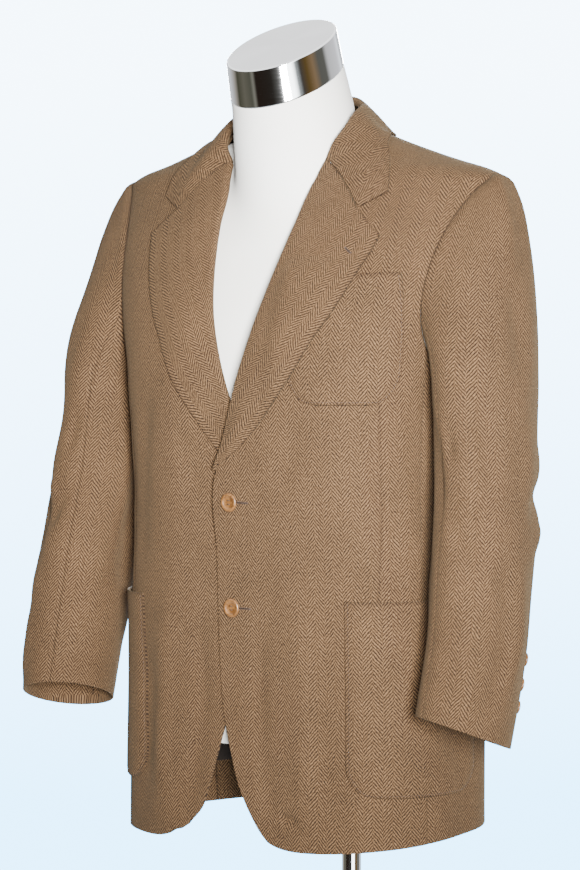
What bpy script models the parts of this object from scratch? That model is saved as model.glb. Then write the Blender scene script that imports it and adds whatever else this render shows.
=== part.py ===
"""A man's two-button tweed sport jacket, worn by a limbless dress form on a chrome pole and round base.

Metres, +Z up. The origin is the middle of the base's underside, on the axis of the pole. The jacket's
front faces -Y, and its wearer's left is +X. Turns are read in degrees about the body's upright axis,
from 0 at the front centre through 90 at the wearer's left side to 180 at the back centre.
"""
import math
from collections import namedtuple

import bpy
import numpy as np

# Driving dimensions.
CLOTH = 0.0024  # tweed of the body with its canvas
LEAF = 0.0022  # collar, lapel and pocket cloth
SLEEVE_CLOTH = 0.0020
SEAM = 0.0003  # space between two pieces that are sewn together
CLEARANCE = 0.0005  # space under a piece that lies on another

NECK_HEIGHT = 1.452  # neckline at the shoulder seam
BREAK_HEIGHT = 1.085  # where the lapel starts to turn back
ROLL_TOP = 1.394  # where the roll line leaves the front's edge, on its way to the collar
ROLL_LEAN = 0.20  # its slope from the upright above that
GORGE_HEIGHT = 1.414  # where the lapel's roll line meets the collar
CAP_SLANT = math.radians(27.7)
CAP_HEIGHT = 0.038
FORM_FOOT = 0.797  # underside of the dress form
POLE_RADIUS = 0.0105
BASE_RADIUS = 0.190
BASE_THICKNESS = 0.009
FRONT_BUTTON_RADIUS = 0.0100
CUFF_BUTTON_RADIUS = 0.0073
FRONT_BUTTON_HEIGHTS = (1.058, 0.947)
FRONT_BUTTON_X = -0.003
CUFF_BUTTON_HEIGHTS = (0.915, 0.893, 0.873)
CUFF_BUTTON_ANGLE = -58.0  # round the sleeve, from its outer side towards the front

Section = namedtuple("Section", "height half_width front back centre_y front_power back_power")

# Level cuts through the jacket, from the hem to the neck. Above the armpit they run out to the
# shoulder line, so the top rows are narrow.
JACKET = (
    Section(0.690, 0.2035, 0.1255, 0.1290, -0.0820, 2.9, 2.4),
    Section(0.760, 0.2025, 0.1255, 0.1275, -0.0820, 2.9, 2.4),
    Section(0.860, 0.1995, 0.1265, 0.1240, -0.0820, 2.9, 2.4),
    Section(0.950, 0.1970, 0.1300, 0.1160, -0.0820, 2.9, 2.4),
    Section(1.060, 0.1875, 0.1345, 0.1080, -0.0820, 2.9, 2.4),
    Section(1.130, 0.1895, 0.1375, 0.1140, -0.0820, 3.0, 2.4),
    Section(1.195, 0.1960, 0.1390, 0.1220, -0.0820, 3.0, 2.4),
    Section(1.240, 0.2100, 0.1310, 0.1240, -0.0815, 2.9, 2.4),
    Section(1.297, 0.2280, 0.1120, 0.1230, -0.0805, 2.7, 2.4),
    Section(1.345, 0.2360, 0.0945, 0.1160, -0.0780, 2.4, 2.3),
    Section(1.385, 0.2405, 0.0790, 0.1020, -0.0755, 2.0, 2.1),
    Section(1.398, 0.2370, 0.0730, 0.0950, -0.0750, 2.0, 2.0),
    Section(1.406, 0.2200, 0.0680, 0.0910, -0.0760, 2.0, 1.9),
    Section(1.4157, 0.1860, 0.0605, 0.0870, -0.0780, 2.0, 1.8),
    Section(1.4293, 0.1450, 0.0490, 0.0840, -0.0840, 2.0, 1.7),
    Section(1.4430, 0.1070, 0.0320, 0.0825, -0.0900, 2.0, 1.7),
    Section(1.4520, 0.0820, 0.0180, 0.0790, -0.0930, 2.0, 1.8),
    Section(1.4600, 0.0700, 0.0150, 0.0740, -0.0950, 2.0, 1.9),
)

# Level cuts through the dress form's torso, which its neck is blended with.
TORSO = (
    Section(FORM_FOOT, 0.160, 0.098, 0.104, -0.082, 2.4, 2.4),
    Section(0.809, 0.167, 0.104, 0.110, -0.082, 2.4, 2.4),
    Section(0.860, 0.172, 0.107, 0.110, -0.082, 2.4, 2.4),
    Section(0.950, 0.164, 0.107, 0.098, -0.082, 2.4, 2.4),
    Section(1.050, 0.152, 0.108, 0.090, -0.082, 2.4, 2.4),
    Section(1.150, 0.168, 0.113, 0.096, -0.082, 2.5, 2.4),
    Section(1.220, 0.180, 0.106, 0.104, -0.082, 2.5, 2.4),
    Section(1.280, 0.187, 0.093, 0.106, -0.082, 2.4, 2.4),
    Section(1.320, 0.190, 0.082, 0.102, -0.082, 2.3, 2.3),
    Section(1.360, 0.191, 0.067, 0.090, -0.082, 2.1, 2.2),
    Section(1.385, 0.188, 0.053, 0.078, -0.081, 2.0, 2.1),
    Section(1.400, 0.178, 0.042, 0.066, -0.080, 2.0, 2.0),
    Section(1.412, 0.160, 0.032, 0.052, -0.081, 2.0, 2.0),
    Section(1.4235, 0.136, 0.024, 0.038, -0.085, 2.0, 2.0),
    Section(1.437, 0.098, 0.014, 0.022, -0.091, 2.0, 2.0),
    Section(1.450, 0.050, 0.006, 0.008, -0.097, 2.0, 2.0),
)

NeckRing = namedtuple("NeckRing", "height centre_y radius slant")  # slant in degrees

NECK = (
    NeckRing(1.300, -0.085, 0.0660, 0.0),
    NeckRing(1.360, -0.090, 0.0690, 0.0),
    NeckRing(1.400, -0.0955, 0.0690, 0.0),
    NeckRing(1.437, -0.1030, 0.0670, 0.0),
    NeckRing(1.452, -0.1055, 0.0658, 6.0),
    NeckRing(1.466, -0.1083, 0.0645, 13.0),
    NeckRing(1.480, -0.1125, 0.0625, 19.5),
    NeckRing(1.4905, -0.1160, 0.0610, 24.5),
    NeckRing(1.5005, -0.1200, 0.0598, 27.7),
)

# The free front edge from the rounded hem corner to the break, then the roll line and the neckline.
# The distances are from the centre to the wearer's own side, so an edge below zero laps over.
EdgePoint = namedtuple("EdgePoint", "height left_x right_x")

FRONT_EDGE = (
    EdgePoint(0.7030, 0.0380, 0.0880),
    EdgePoint(0.7120, 0.0290, 0.0710),
    EdgePoint(0.7250, 0.0195, 0.0556),
    EdgePoint(0.7555, 0.0025, 0.0415),
    EdgePoint(0.7910, -0.0085, 0.0294),
    EdgePoint(0.8330, -0.0178, 0.0160),
    EdgePoint(0.8700, -0.0210, 0.0030),
    EdgePoint(0.9050, -0.0223, -0.0090),
    EdgePoint(0.9500, -0.0225, -0.0165),
    EdgePoint(1.0000, -0.0225, -0.0180),
    EdgePoint(BREAK_HEIGHT, -0.0225, -0.0180),
    EdgePoint(1.1200, -0.0075, 0.0020),
    EdgePoint(1.1590, 0.0050, 0.0115),
    EdgePoint(1.2080, 0.0200, 0.0275),
    EdgePoint(1.2560, 0.0315, 0.0405),
    EdgePoint(1.2970, 0.0405, 0.0490),
    EdgePoint(1.3470, 0.0515, 0.0575),
    EdgePoint(ROLL_TOP, 0.0620, 0.0620),
    EdgePoint(1.4120, 0.0700, 0.0700),
    EdgePoint(1.4220, 0.0755, 0.0755),
    EdgePoint(1.4400, 0.0820, 0.0820),
    EdgePoint(NECK_HEIGHT, 0.0820, 0.0820),
)

# The jacket hangs a little lower on the wearer's right.
HemPoint = namedtuple("HemPoint", "turn left_height right_height")

HEM = (
    HemPoint(-30, 0.6965, 0.6965),
    HemPoint(45, 0.6970, 0.6930),
    HemPoint(75, 0.7080, 0.6960),
    HemPoint(110, 0.7150, 0.7000),
    HemPoint(150, 0.7210, 0.7150),
    HemPoint(180, 0.7260, 0.7260),
)

OutlinePoint = namedtuple("OutlinePoint", "x height")
LapelPoint = namedtuple("LapelPoint", "x left_height right_height")

LAPEL_EDGE = (
    LapelPoint(-0.0150, 1.0965, 1.0900),
    LapelPoint(0.0115, 1.1150, 1.1010),
    LapelPoint(0.0356, 1.1380, 1.1250),
    LapelPoint(0.0545, 1.1590, 1.1500),
    LapelPoint(0.0821, 1.1950, 1.1920),
    LapelPoint(0.0993, 1.2256, 1.2256),
    LapelPoint(0.1190, 1.2580, 1.2580),
    LapelPoint(0.1360, 1.2950, 1.2950),
    LapelPoint(0.1500, 1.3350, 1.3390),
)
NOTCH = OutlinePoint(0.1175, 1.363)
COLLAR_POINT = OutlinePoint(0.1457, 1.380)

# Where the collar turns over, from the roll line round to the back centre, on the wearer's left.
FoldPoint = namedtuple("FoldPoint", "x y height")

COLLAR_FOLD = (
    FoldPoint(0.0745, -0.1335, 1.4310),
    FoldPoint(0.0800, -0.1180, 1.4500),
    FoldPoint(0.0790, -0.1050, 1.4610),
    FoldPoint(0.0735, -0.0870, 1.4680),
    FoldPoint(0.0600, -0.0640, 1.4730),
    FoldPoint(0.0350, -0.0440, 1.4810),
    FoldPoint(0.0000, -0.0350, 1.4850),
)

# The sleeve below the armpit: its middle and its half widths, out from the body and towards the front.
SleeveCut = namedtuple("SleeveCut", "height x y half_out half_fore")

SLEEVE = (
    SleeveCut(0.833, 0.2605, -0.1740, 0.0455, 0.0570),
    SleeveCut(0.930, 0.2630, -0.1500, 0.0475, 0.0605),
    SleeveCut(1.000, 0.2600, -0.1365, 0.0480, 0.0625),
    SleeveCut(1.090, 0.2525, -0.1200, 0.0470, 0.0645),
    SleeveCut(1.165, 0.2455, -0.1105, 0.0470, 0.0700),
)
SLEEVE_TOP = SLEEVE[-1].height
SLEEVE_SEAM = 0.0011  # from the armhole's edge, whose facets differ from the sleeve's
CUFF = SLEEVE[0].height
CUFF_SLOPE_OUT = -0.17  # slope of the cuff's edge beyond the sleeve's own lean, down on the outer side
CUFF_SLOPE_FORE = 0.06  # and up in front
CUFF_SLOPE_START = 0.930

# The armhole seen from the side is an egg, wider below.
ARMHOLE_MIDDLE = 1.2965
ARMHOLE_HALF_HEIGHT = 0.1035
ARMHOLE_CENTRE_Y = -0.0855
ARMHOLE_TOP_Y = -0.0750
ARMHOLE_HALF_WIDTH = 0.0665
ARMHOLE_EGG = 0.42
FRONT_SEAM_ANGLE = 142.0  # where the side seams meet the armhole, from its top towards the front
BACK_SEAM_ANGLE = 217.0
BACK_SEAM_HEM_TURN = 112.0
SLEEVE_FRONT_SEAM = 112.0
SLEEVE_BACK_SEAM = -76.0

# Soft folds of the sleeve: where each lies, how far it spreads and how deep it is.
Fold = namedtuple("Fold", "height angle half_height half_angle depth")

SLEEVE_FOLDS = (
    Fold(1.068, -70, 0.014, 55, 0.0050),
    Fold(1.098, -80, 0.018, 60, -0.0030),
    Fold(1.040, -60, 0.020, 50, -0.0025),
    Fold(1.040, 70, 0.030, 40, 0.0030),
    Fold(1.150, 60, 0.040, 30, 0.0030),
    Fold(0.960, -20, 0.045, 40, 0.0020),
)

RIGHT_LAP_DEPTH = 0.0032  # how far the right front lies in under the left one
RIGHT_ROLL_DEPTH = 0.0095  # and where the right lapel passes under it too
LAPEL_BELLY = 0.0045


def table(rows):
    """The columns of a table of named rows, each as an array."""
    return {name: np.array([getattr(row, name) for row in rows]) for name in rows[0]._fields}


def smooth(x, y, at):
    """A cubic curve through the points (x, y), with x rising, read at the numbers at."""
    at = np.clip(at, x[0], x[-1])
    slope = np.gradient(y, x)
    i = np.clip(np.searchsorted(x, at) - 1, 0, len(x) - 2)
    step = x[i + 1] - x[i]
    t = (at - x[i]) / step
    rise = (3 - 2 * t) * t * t
    start = (t - 1) ** 2 * t * step * slope[i]
    end = (t - 1) * t * t * step * slope[i + 1]
    return y[i] + (y[i + 1] - y[i]) * rise + start + end


def ease(low, high, x):
    """0 below low and 1 above high, with a soft step between them."""
    t = np.clip((x - low) / (high - low), 0, 1)
    return (3 - 2 * t) * t * t


def unit(v):
    return v / np.linalg.norm(v, axis=-1, keepdims=True)


def cut_at(sections, height):
    """Each column of a table of sections, read at the heights."""
    columns = table(sections)
    return Section(*(smooth(columns["height"], columns[name], height) for name in Section._fields))


def reach_of(cut, turn):
    """How far a section lies from its centre in the direction of each turn, in radians."""
    sine, cosine = np.abs(np.sin(turn)), np.cos(turn)
    depth = np.where(cosine > 0, cut.front, cut.back)
    power = np.where(cosine > 0, cut.front_power, cut.back_power)
    return ((sine / cut.half_width) ** power + (np.abs(cosine) / depth) ** power) ** (-1 / power)


def jacket_at(turn, height):
    """Points of the jacket's outside, for turns in radians."""
    cut = cut_at(JACKET, height)
    reach = reach_of(cut, turn)
    return np.stack([reach * np.sin(turn), cut.centre_y - reach * np.cos(turn), height + 0 * turn], -1)


def outward(surface, a, b, step=1e-4):
    """Unit normals of a surface of two parameters."""
    along = surface(a + step, b) - surface(a - step, b)
    up = surface(a, b + step) - surface(a, b - step)
    return unit(np.cross(along, up))


def turn_at_x(x, height):
    """The turn where the jacket's front is x from the centre plane."""
    cut = cut_at(JACKET, height)
    share = np.clip(np.abs(x) / cut.half_width, 0, 1) ** cut.front_power
    return np.arctan2(x, cut.front * (1 - share) ** (1 / cut.front_power))


def turn_at_y(y, height):
    """The turn where the jacket's left side lies at y."""
    cut = cut_at(JACKET, height)
    ahead = cut.centre_y - y
    depth = np.where(ahead > 0, cut.front, cut.back)
    power = np.where(ahead > 0, cut.front_power, cut.back_power)
    share = np.clip(np.abs(ahead) / depth, 0, 1) ** power
    return np.arctan2(cut.half_width * (1 - share) ** (1 / power), ahead)


def armhole_at(angle):
    """Turn and height of the armhole's edge, for angles in degrees from its top towards the front."""
    a = np.radians(angle)
    height = ARMHOLE_MIDDLE + ARMHOLE_HALF_HEIGHT * np.cos(a)
    middle = ARMHOLE_CENTRE_Y + (ARMHOLE_TOP_Y - ARMHOLE_CENTRE_Y) * ((1 + np.cos(a)) / 2) ** 4
    y = middle - ARMHOLE_HALF_WIDTH * np.sin(a) * (1 - ARMHOLE_EGG * np.cos(a))
    return turn_at_y(y, height), height


def edge_x(height, side):
    """Distance of the front's free edge, roll line or neckline from the centre plane."""
    columns = table(FRONT_EDGE)
    return smooth(columns["height"], columns["left_x" if side > 0 else "right_x"], height)


def roll_x(height, side):
    """Distance of the line that a lapel turns on from the centre plane."""
    return edge_x(np.minimum(height, ROLL_TOP), side) + ROLL_LEAN * np.maximum(height - ROLL_TOP, 0)


def hem_height(turn, side):
    columns = table(HEM)
    return smooth(columns["turn"].astype(float), columns[f"{WORD[side]}_height"], np.degrees(turn))


def lap(x, height, side):
    """How far a front lies in from the jacket's outside: only the right one, under the left."""
    if side > 0:
        return 0 * (x + height)
    rolled = ease(1.00, 1.06, height)
    depth = RIGHT_LAP_DEPTH + (RIGHT_ROLL_DEPTH - RIGHT_LAP_DEPTH) * rolled
    return depth * (1 - ease(1.19, 1.31, height)) * (1 - ease(0.020, 0.090, x))


def patch(left, right, bottom, top, rise, across):
    """A grid of (turn, height) between four edges. rise and across give the rows' and columns' shares."""
    s = across[None, :, None]
    v = rise[:, None, None]

    def bend(edge):
        return edge[None] - (edge[0] + (edge[-1] - edge[0]) * s)

    return left[:, None] * (1 - s) + right[:, None] * s + bend(bottom) * (1 - v) ** 3 + bend(top) * v**4


def pair(turn, height):
    """(turn, height) points from two arrays or numbers."""
    return np.stack(np.broadcast_arrays(turn, height), -1).astype(float)


def mesh_object(name, points, faces, material):
    mesh = bpy.data.meshes.new(name)
    mesh.from_pydata([tuple(p) for p in points], [], faces)
    mesh.validate()
    mesh.shade_smooth()
    mesh.set_sharp_from_angle(angle=math.radians(40))
    mesh.materials.append(material)
    made = bpy.data.objects.new(name, mesh)
    PARTS.objects.link(made)
    return made


def sheet(name, points, thickness, material, side=1, offset=-1):
    """Cloth whose outside is a grid of points. side -1 mirrors it to the wearer's right."""
    rows, columns = points.shape[:2]
    number = np.arange(rows * columns).reshape(rows, columns)
    corners = (number[:-1, :-1], number[:-1, 1:], number[1:, 1:], number[1:, :-1])
    faces = np.stack(corners, -1).reshape(-1, 4)[:, ::side]
    made = mesh_object(name, points.reshape(-1, 3) * (side, 1, 1), faces.tolist(), material)
    wall = made.modifiers.new("Solidify", "SOLIDIFY")
    wall.thickness = thickness
    wall.offset = offset
    return made


def panel(name, grid, thickness, material, side=1, lift=0.0):
    """Cloth whose outside is the jacket's surface at a grid of (turn, height), moved out by lift."""
    turn, height = grid[..., 0], grid[..., 1]
    lift = np.broadcast_to(lift, turn.shape)[..., None]
    sheet(name, jacket_at(turn, height) + outward(jacket_at, turn, height) * lift, thickness, material, side)


def shares(columns, narrow=0.0):
    """Column positions from 0 to 1, with a narrow one at each end that keeps its seam crisp."""
    inside = np.linspace(narrow, 1 - narrow, columns)
    return np.concatenate([[0], inside, [1]]) if narrow else inside


def off_seam(turn, height, direction):
    """A turn moved off a seam by half of its space."""
    return turn + direction * SEAM / 2 / reach_of(cut_at(JACKET, height), turn)


# Row positions shared by the fronts and backs: up the seam below the armhole, then round it.
SEAM_SHARES = np.array([0, 0.022, 0.055, 0.105, 0.18, 0.28, 0.40, 0.52, 0.64, 0.74, 0.83, 0.915, 1.0])
ARM_SHARES = np.array([0.12, 0.26, 0.41, 0.56, 0.70, 0.83, 0.93, 0.985, 1.0])
TOP_HEIGHTS = np.array([1.247, 1.280, 1.313, 1.346, 1.380, 1.408, 1.430, 1.4505, NECK_HEIGHT])


SHOULDER_SPACES = 4.0  # the shoulder seam is wider, as its two chains of facets differ


def between(start, end, share):
    return start + (end - start) * share


def seam_edge(hem_turn, arm_angle, top_angle, direction, side):
    """A front's or back's edge from the hem up a side seam and round the armhole to the shoulder."""
    arm_turn, arm_height = armhole_at(arm_angle)
    heights = between(hem_height(hem_turn, side), arm_height, SEAM_SHARES)
    turns = off_seam(between(hem_turn, arm_turn, SEAM_SHARES), heights, direction)
    angles = between(arm_angle, top_angle, ARM_SHARES)
    over = pair(*armhole_at(angles))
    over[-1, 0] = off_seam(math.pi / 2, over[-1, 1], direction * SHOULDER_SPACES)
    return np.concatenate([pair(turns, heights), over])


def inner_heights(low):
    """Heights of the rows at a front's free edge or the back's centre."""
    arm_height = armhole_at(FRONT_SEAM_ANGLE)[1]
    return np.concatenate([between(low, arm_height, SEAM_SHARES), TOP_HEIGHTS])


def front(side):
    """A front, from its free edge and roll line to the side seam, armhole and shoulder seam."""
    right = seam_edge(armhole_at(FRONT_SEAM_ANGLE)[0], FRONT_SEAM_ANGLE, 0, -1, side)
    heights = inner_heights(FRONT_EDGE[0].height)
    left = pair(turn_at_x(edge_x(heights, side), heights), heights)
    left[-1, 0] = right[-1, 0]
    s = shares(11, 0.012)
    turns = between(left[0, 0], right[0, 0], s)
    low = hem_height(turns, side)
    low += (left[0, 1] - low[0]) * (1 - s) ** 8
    top = between(left[-1], right[-1], s[:, None])
    rise = (heights - heights[0]) / (heights[-1] - heights[0])
    grid = patch(left, right, pair(turns, low), top, rise, s)
    x = jacket_at(grid[..., 0], grid[..., 1])[..., 0]
    panel(f"front_{WORD[side]}", grid, CLOTH, TWEED, side, -lap(x, grid[..., 1], side))


def side_body(side):
    """The piece under the arm, between the two side seams."""
    front_turn, front_height = armhole_at(FRONT_SEAM_ANGLE)
    back_turn, back_height = armhole_at(BACK_SEAM_ANGLE)
    hem_turn = math.radians(BACK_SEAM_HEM_TURN)
    s = shares(6, 0.03)
    left_heights = between(hem_height(front_turn, side), front_height, SEAM_SHARES)
    right_heights = between(hem_height(hem_turn, side), back_height, SEAM_SHARES)
    left = pair(off_seam(front_turn, left_heights, 1), left_heights)
    right = pair(off_seam(between(hem_turn, back_turn, SEAM_SHARES), right_heights, -1), right_heights)
    top = pair(*armhole_at(between(FRONT_SEAM_ANGLE, BACK_SEAM_ANGLE, s)))
    top[0], top[-1] = left[-1], right[-1]
    turns = between(left[0, 0], right[0, 0], s)
    grid = patch(left, right, pair(turns, hem_height(turns, side)), top, SEAM_SHARES, s)
    panel(f"side_{WORD[side]}", grid, CLOTH, TWEED, side)


def back(side):
    """Half of the back, from the side seam and armhole to the centre seam, up to the neckline."""
    left = seam_edge(math.radians(BACK_SEAM_HEM_TURN), BACK_SEAM_ANGLE, 360, 1, side)
    heights = inner_heights(hem_height(math.pi, side))
    right = pair(off_seam(math.pi, heights, -1), heights)
    s = shares(10, 0.012)
    nape = np.clip((s - 0.5) * 2, 0, 1)
    top_heights = between(left[-1, 1], NECK_HEIGHT, np.clip(s * 2, 0, 1))
    top = pair(between(left[-1, 0], right[-1, 0], nape), top_heights)
    turns = between(left[0, 0], right[0, 0], s)
    rise = (heights - heights[0]) / (heights[-1] - heights[0])
    grid = patch(left, right, pair(turns, hem_height(turns, side)), top, rise, s)
    panel(f"back_{WORD[side]}", grid, CLOTH, TWEED, side)


def line(points, shares):
    """Points at shares of the length of a smooth curve through the points."""
    points = np.asarray(points, float)
    run = np.concatenate([[0], np.cumsum(np.linalg.norm(np.diff(points, axis=0), axis=1))])
    return np.stack([smooth(run, points[:, k], np.asarray(shares) * run[-1]) for k in range(points.shape[1])], -1)


ROLL_ARC = np.radians([-90, -45, 0, 45])  # round a turned edge, from its hidden side to its outside
ROLL_CORE = CLOTH / 2 + 0.0015  # radius inside the leaf's cloth where it turns round the edge


def rolled(centre, normal, along, leaf):
    """Adds to a leaf the columns of cloth that turn round the edge at its first column."""
    toward = unit(leaf[:, 1] - leaf[:, 0])
    across = unit(np.cross(along, normal))
    across *= np.sign((across * toward).sum(-1, keepdims=True))
    sweep = [normal * math.sin(a) - across * math.cos(a) for a in ROLL_ARC]
    return np.concatenate([np.stack([centre + (ROLL_CORE + LEAF) * arm for arm in sweep], 1), leaf], 1)


def lapel_outline(side):
    """The lapel's outer edge on one side, from the break to its point."""
    return [OutlinePoint(p.x, p.left_height if side > 0 else p.right_height) for p in LAPEL_EDGE]


def lapel(side):
    """The turned-back lapel, from round the front's roll line to its outer edge and notch."""
    rows = np.linspace(0, 1, 13)
    heights = BREAK_HEIGHT + 0.006 + (GORGE_HEIGHT - BREAK_HEIGHT - 0.006) * rows
    x = roll_x(heights, side)
    left = pair(turn_at_x(x, heights), heights)
    outline = lapel_outline(side)
    right = line(outline, rows)
    right = pair(turn_at_x(right[:, 0], right[:, 1]), right[:, 1])
    roll_top = (x[-1], GORGE_HEIGHT)
    gorge = line([roll_top, (0.0885, 1.3965), NOTCH], np.linspace(0, 1, 6))
    notch = line([NOTCH, outline[-1]], np.linspace(0, 1, 4))
    top = np.concatenate([gorge, notch[1:]])
    top = pair(turn_at_x(top[:, 0], top[:, 1]), top[:, 1])
    s = np.linspace(0, 1, len(top))
    bottom = left[0] + (right[0] - left[0]) * s[:, None]
    grid = patch(left, right, bottom, top, rows, s)
    turn, height = grid[..., 0], grid[..., 1]
    points = jacket_at(turn, height)
    normal = outward(jacket_at, turn, height)
    over_pocket = ease(0.040, 0.064, points[..., 0]) * ease(1.120, 1.148, height) * (1 - ease(1.297, 1.318, height))
    belly = LAPEL_BELLY * np.sin(math.pi * s)[None, :] * (1 - 0.5 * rows)[:, None] * ease(0, 0.2, rows)[:, None]
    if side < 0:
        over_pocket = 0 * over_pocket
        belly = belly * ease(1.14, 1.24, height)
    lift = CLEARANCE + LEAF - lap(points[..., 0], height, side) + belly
    lift = (lift + (LEAF + POCKET_CLEARANCE + CLEARANCE) * over_pocket)[..., None]
    leaf = points + normal * lift
    centre = points[:, 0] - normal[:, 0] * (CLOTH / 2 + lap(points[:, 0, 0], height[:, 0], side))[:, None]
    along = unit(np.gradient(points[:, 0], axis=0))
    sheet(f"lapel_{WORD[side]}", rolled(centre, normal[:, 0], along, leaf), LEAF, TWEED, side)
    return centre[-1], along[-1]


def off_jacket(points, clearance):
    """Points pushed out where they are nearer to the jacket's outside than the clearance."""
    for _ in range(3):
        height = np.clip(points[..., 2], JACKET[0].height, NECK_HEIGHT)
        centre_y = cut_at(JACKET, height).centre_y
        turn = np.arctan2(points[..., 0], centre_y - points[..., 1])
        normal = outward(jacket_at, turn, height)
        gap = ((points - jacket_at(turn, height)) * normal).sum(-1)
        points = points + normal * np.maximum(clearance - gap, 0)[..., None]
    return points


COLLAR_STATIONS = 12  # from one end of the collar to its back centre
GORGE_GAP = 0.0028
COLLAR_CROWN = 0.0025
STAND_GAP = 0.0030  # from the stand to the fold above it and the neckline under it
COLLAR_CLEARANCE = 0.0017  # its straight facets cross the rounded shoulder


def collar_fold(start):
    """The line that the collar turns over, from the end of a lapel's roll to the back centre."""
    return line([tuple(start)] + [tuple(p) for p in COLLAR_FOLD], np.linspace(0, 1, COLLAR_STATIONS))


def collar_edge():
    """The collar's outer edge on the jacket, from its point to the back centre."""
    ahead = [(p.x, p.height) for p in (COLLAR_POINT, OutlinePoint(0.1435, 1.397), OutlinePoint(0.1325, 1.418))]
    turns = [float(turn_at_x(x, h)) for x, h in ahead] + [math.radians(t) for t in (90, 120, 150, 180)]
    heights = [h for _, h in ahead] + [1.4415, 1.4405, 1.4395, 1.4390]
    spots = line(list(zip(turns, heights)), np.linspace(0, 1, 40))
    points = jacket_at(spots[:, 0], spots[:, 1])
    points += outward(jacket_at, spots[:, 0], spots[:, 1]) * (LEAF + CLEARANCE)
    return line(points, np.linspace(0, 1, COLLAR_STATIONS))


def both_sides(half):
    """Rows of points from the left end to the back centre, then on to the right end."""
    other = half[-2::-1] * (-1, 1, 1)
    return np.concatenate([half, other])


def collar(start, along):
    """The collar: the part that falls over the neckline, and the stand inside it."""
    fold = collar_fold(start + along * GORGE_GAP)
    edge = collar_edge()
    tangent = unit(np.gradient(fold, axis=0))
    tangent[-1] = (-1, 0, 0)
    normal = unit(np.cross(edge - fold, tangent))
    s = np.linspace(0, 1, COLLAR_STATIONS)
    t = np.concatenate([np.linspace(0, 0.66, 5), np.linspace(0.66, 1, 4)[1:]])
    base = fold + normal * (ROLL_CORE + LEAF)
    falls = base[:, None] + (edge - base)[:, None] * t[None, :, None]
    falls += normal[:, None] * (COLLAR_CROWN * 4 * t * (1 - t))[None, :, None] * s[:, None, None]
    gorge_edge = roll_x(np.array([GORGE_HEIGHT]), 1)[0]
    lapel_line = [(gorge_edge, GORGE_HEIGHT), (0.0885, 1.3965), NOTCH]
    gorge = np.concatenate([line(lapel_line, t[:5] / 0.66), line([NOTCH, COLLAR_POINT], (t[5:] - 0.66) / 0.34)])
    gorge[:, 1] += GORGE_GAP * 1.4 * (1 - ease(0.66, 1, t))
    turns = turn_at_x(gorge[:, 0], gorge[:, 1])
    end = jacket_at(turns, gorge[:, 1]) + outward(jacket_at, turns, gorge[:, 1]) * (LEAF + CLEARANCE)
    end[0] = base[0]
    falls += (end - falls[0])[None] * ((1 - s) ** 4)[:, None, None]
    falls[:, 1:] = off_jacket(falls[:, 1:], LEAF + COLLAR_CLEARANCE)
    falls = rolled(fold, normal, tangent, falls)
    falls[-1, :, 0] = 0
    sheet("collar", both_sides(falls), LEAF, TWEED)

    reach = slice(4, None)
    shares = s[reach]
    heights = np.minimum(1.424 + 0.14 * shares, NECK_HEIGHT)
    sewn_turn = np.where(shares < 0.42, turn_at_x(edge_x(heights, 1), heights), 0)
    late = math.pi / 2 + math.pi / 2 * (shares - 0.42) / 0.58
    sewn_turn = np.where(shares < 0.42, sewn_turn, late)
    sewn = jacket_at(sewn_turn, heights) - outward(jacket_at, sewn_turn, heights) * CLOTH / 2
    top = fold[reach]
    rows = np.array([0, 0.5, 1.0])[None, :, None]
    up = unit(top - sewn)
    low = sewn + up * STAND_GAP
    middle = low[:, None] + (top - up * STAND_GAP - low)[:, None] * rows
    middle[-1, :, 0] = 0
    sheet("collar_stand", both_sides(middle), LEAF, TWEED, offset=0)


def sleeve_cut_at(height):
    columns = table(SLEEVE)
    return SleeveCut(*(smooth(columns["height"], columns[name], height) for name in SleeveCut._fields))


def sleeve_ring(angle, height):
    """Points round the sleeve below the armpit. Angles in radians run from its outer side to the front."""
    cut = sleeve_cut_at(height)
    low, high = sleeve_cut_at(height - 0.004), sleeve_cut_at(height + 0.004)
    down = unit(np.stack([low.x - high.x, low.y - high.y, low.height - high.height], -1))
    forward = np.array([0.0, -1.0, 0.0])
    fore = unit(forward - down * (down @ forward)[..., None])
    out = unit(np.cross(fore, down))
    middle = np.stack([cut.x, cut.y, cut.height], -1)
    wide = (cut.half_out * np.cos(angle))[..., None]
    deep = (cut.half_fore * np.sin(angle))[..., None]
    return middle + out * wide + fore * deep


def sleeve_at(angle, way):
    """The sleeve's outside: way runs 0 to 1 from the armhole to the armpit's level, then to 2 at the cuff."""
    angle, way = np.broadcast_arrays(angle, way)
    cosine, sine = np.cos(angle), np.sin(angle)
    start = jacket_at(*armhole_at(np.degrees(angle)))
    reach = 0.050 + 0.040 * cosine + 0.022 * cosine**2
    leave = np.stack([reach, -0.012 * sine, -0.060 * sine**2 + 0.010 * np.maximum(cosine, 0)], -1)
    start = start + unit(leave) * SLEEVE_SEAM
    top = np.full(angle.shape, SLEEVE_TOP)
    end = sleeve_ring(angle, top)
    arrive = unit(sleeve_ring(angle, top - 0.010) - end)
    arrive = arrive * (0.120 + 0.135 * cosine + 0.045 * cosine**2)[..., None]
    t = np.minimum(way, 1)[..., None]
    cap = start + (end - start) * (3 - 2 * t) * t * t + leave * t * (1 - t) ** 2 - arrive * t * t * (1 - t)
    height = SLEEVE_TOP - (SLEEVE_TOP - CUFF) * np.clip(way - 1, 0, 1)
    arm = sleeve_ring(angle, height)
    slope = CUFF_SLOPE_OUT * SLEEVE[0].half_out * cosine + CUFF_SLOPE_FORE * SLEEVE[0].half_fore * sine
    arm[..., 2] += slope * ease(0, 1, (CUFF_SLOPE_START - height) / (CUFF_SLOPE_START - CUFF))
    return np.where((way <= 1)[..., None], cap, arm)


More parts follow.
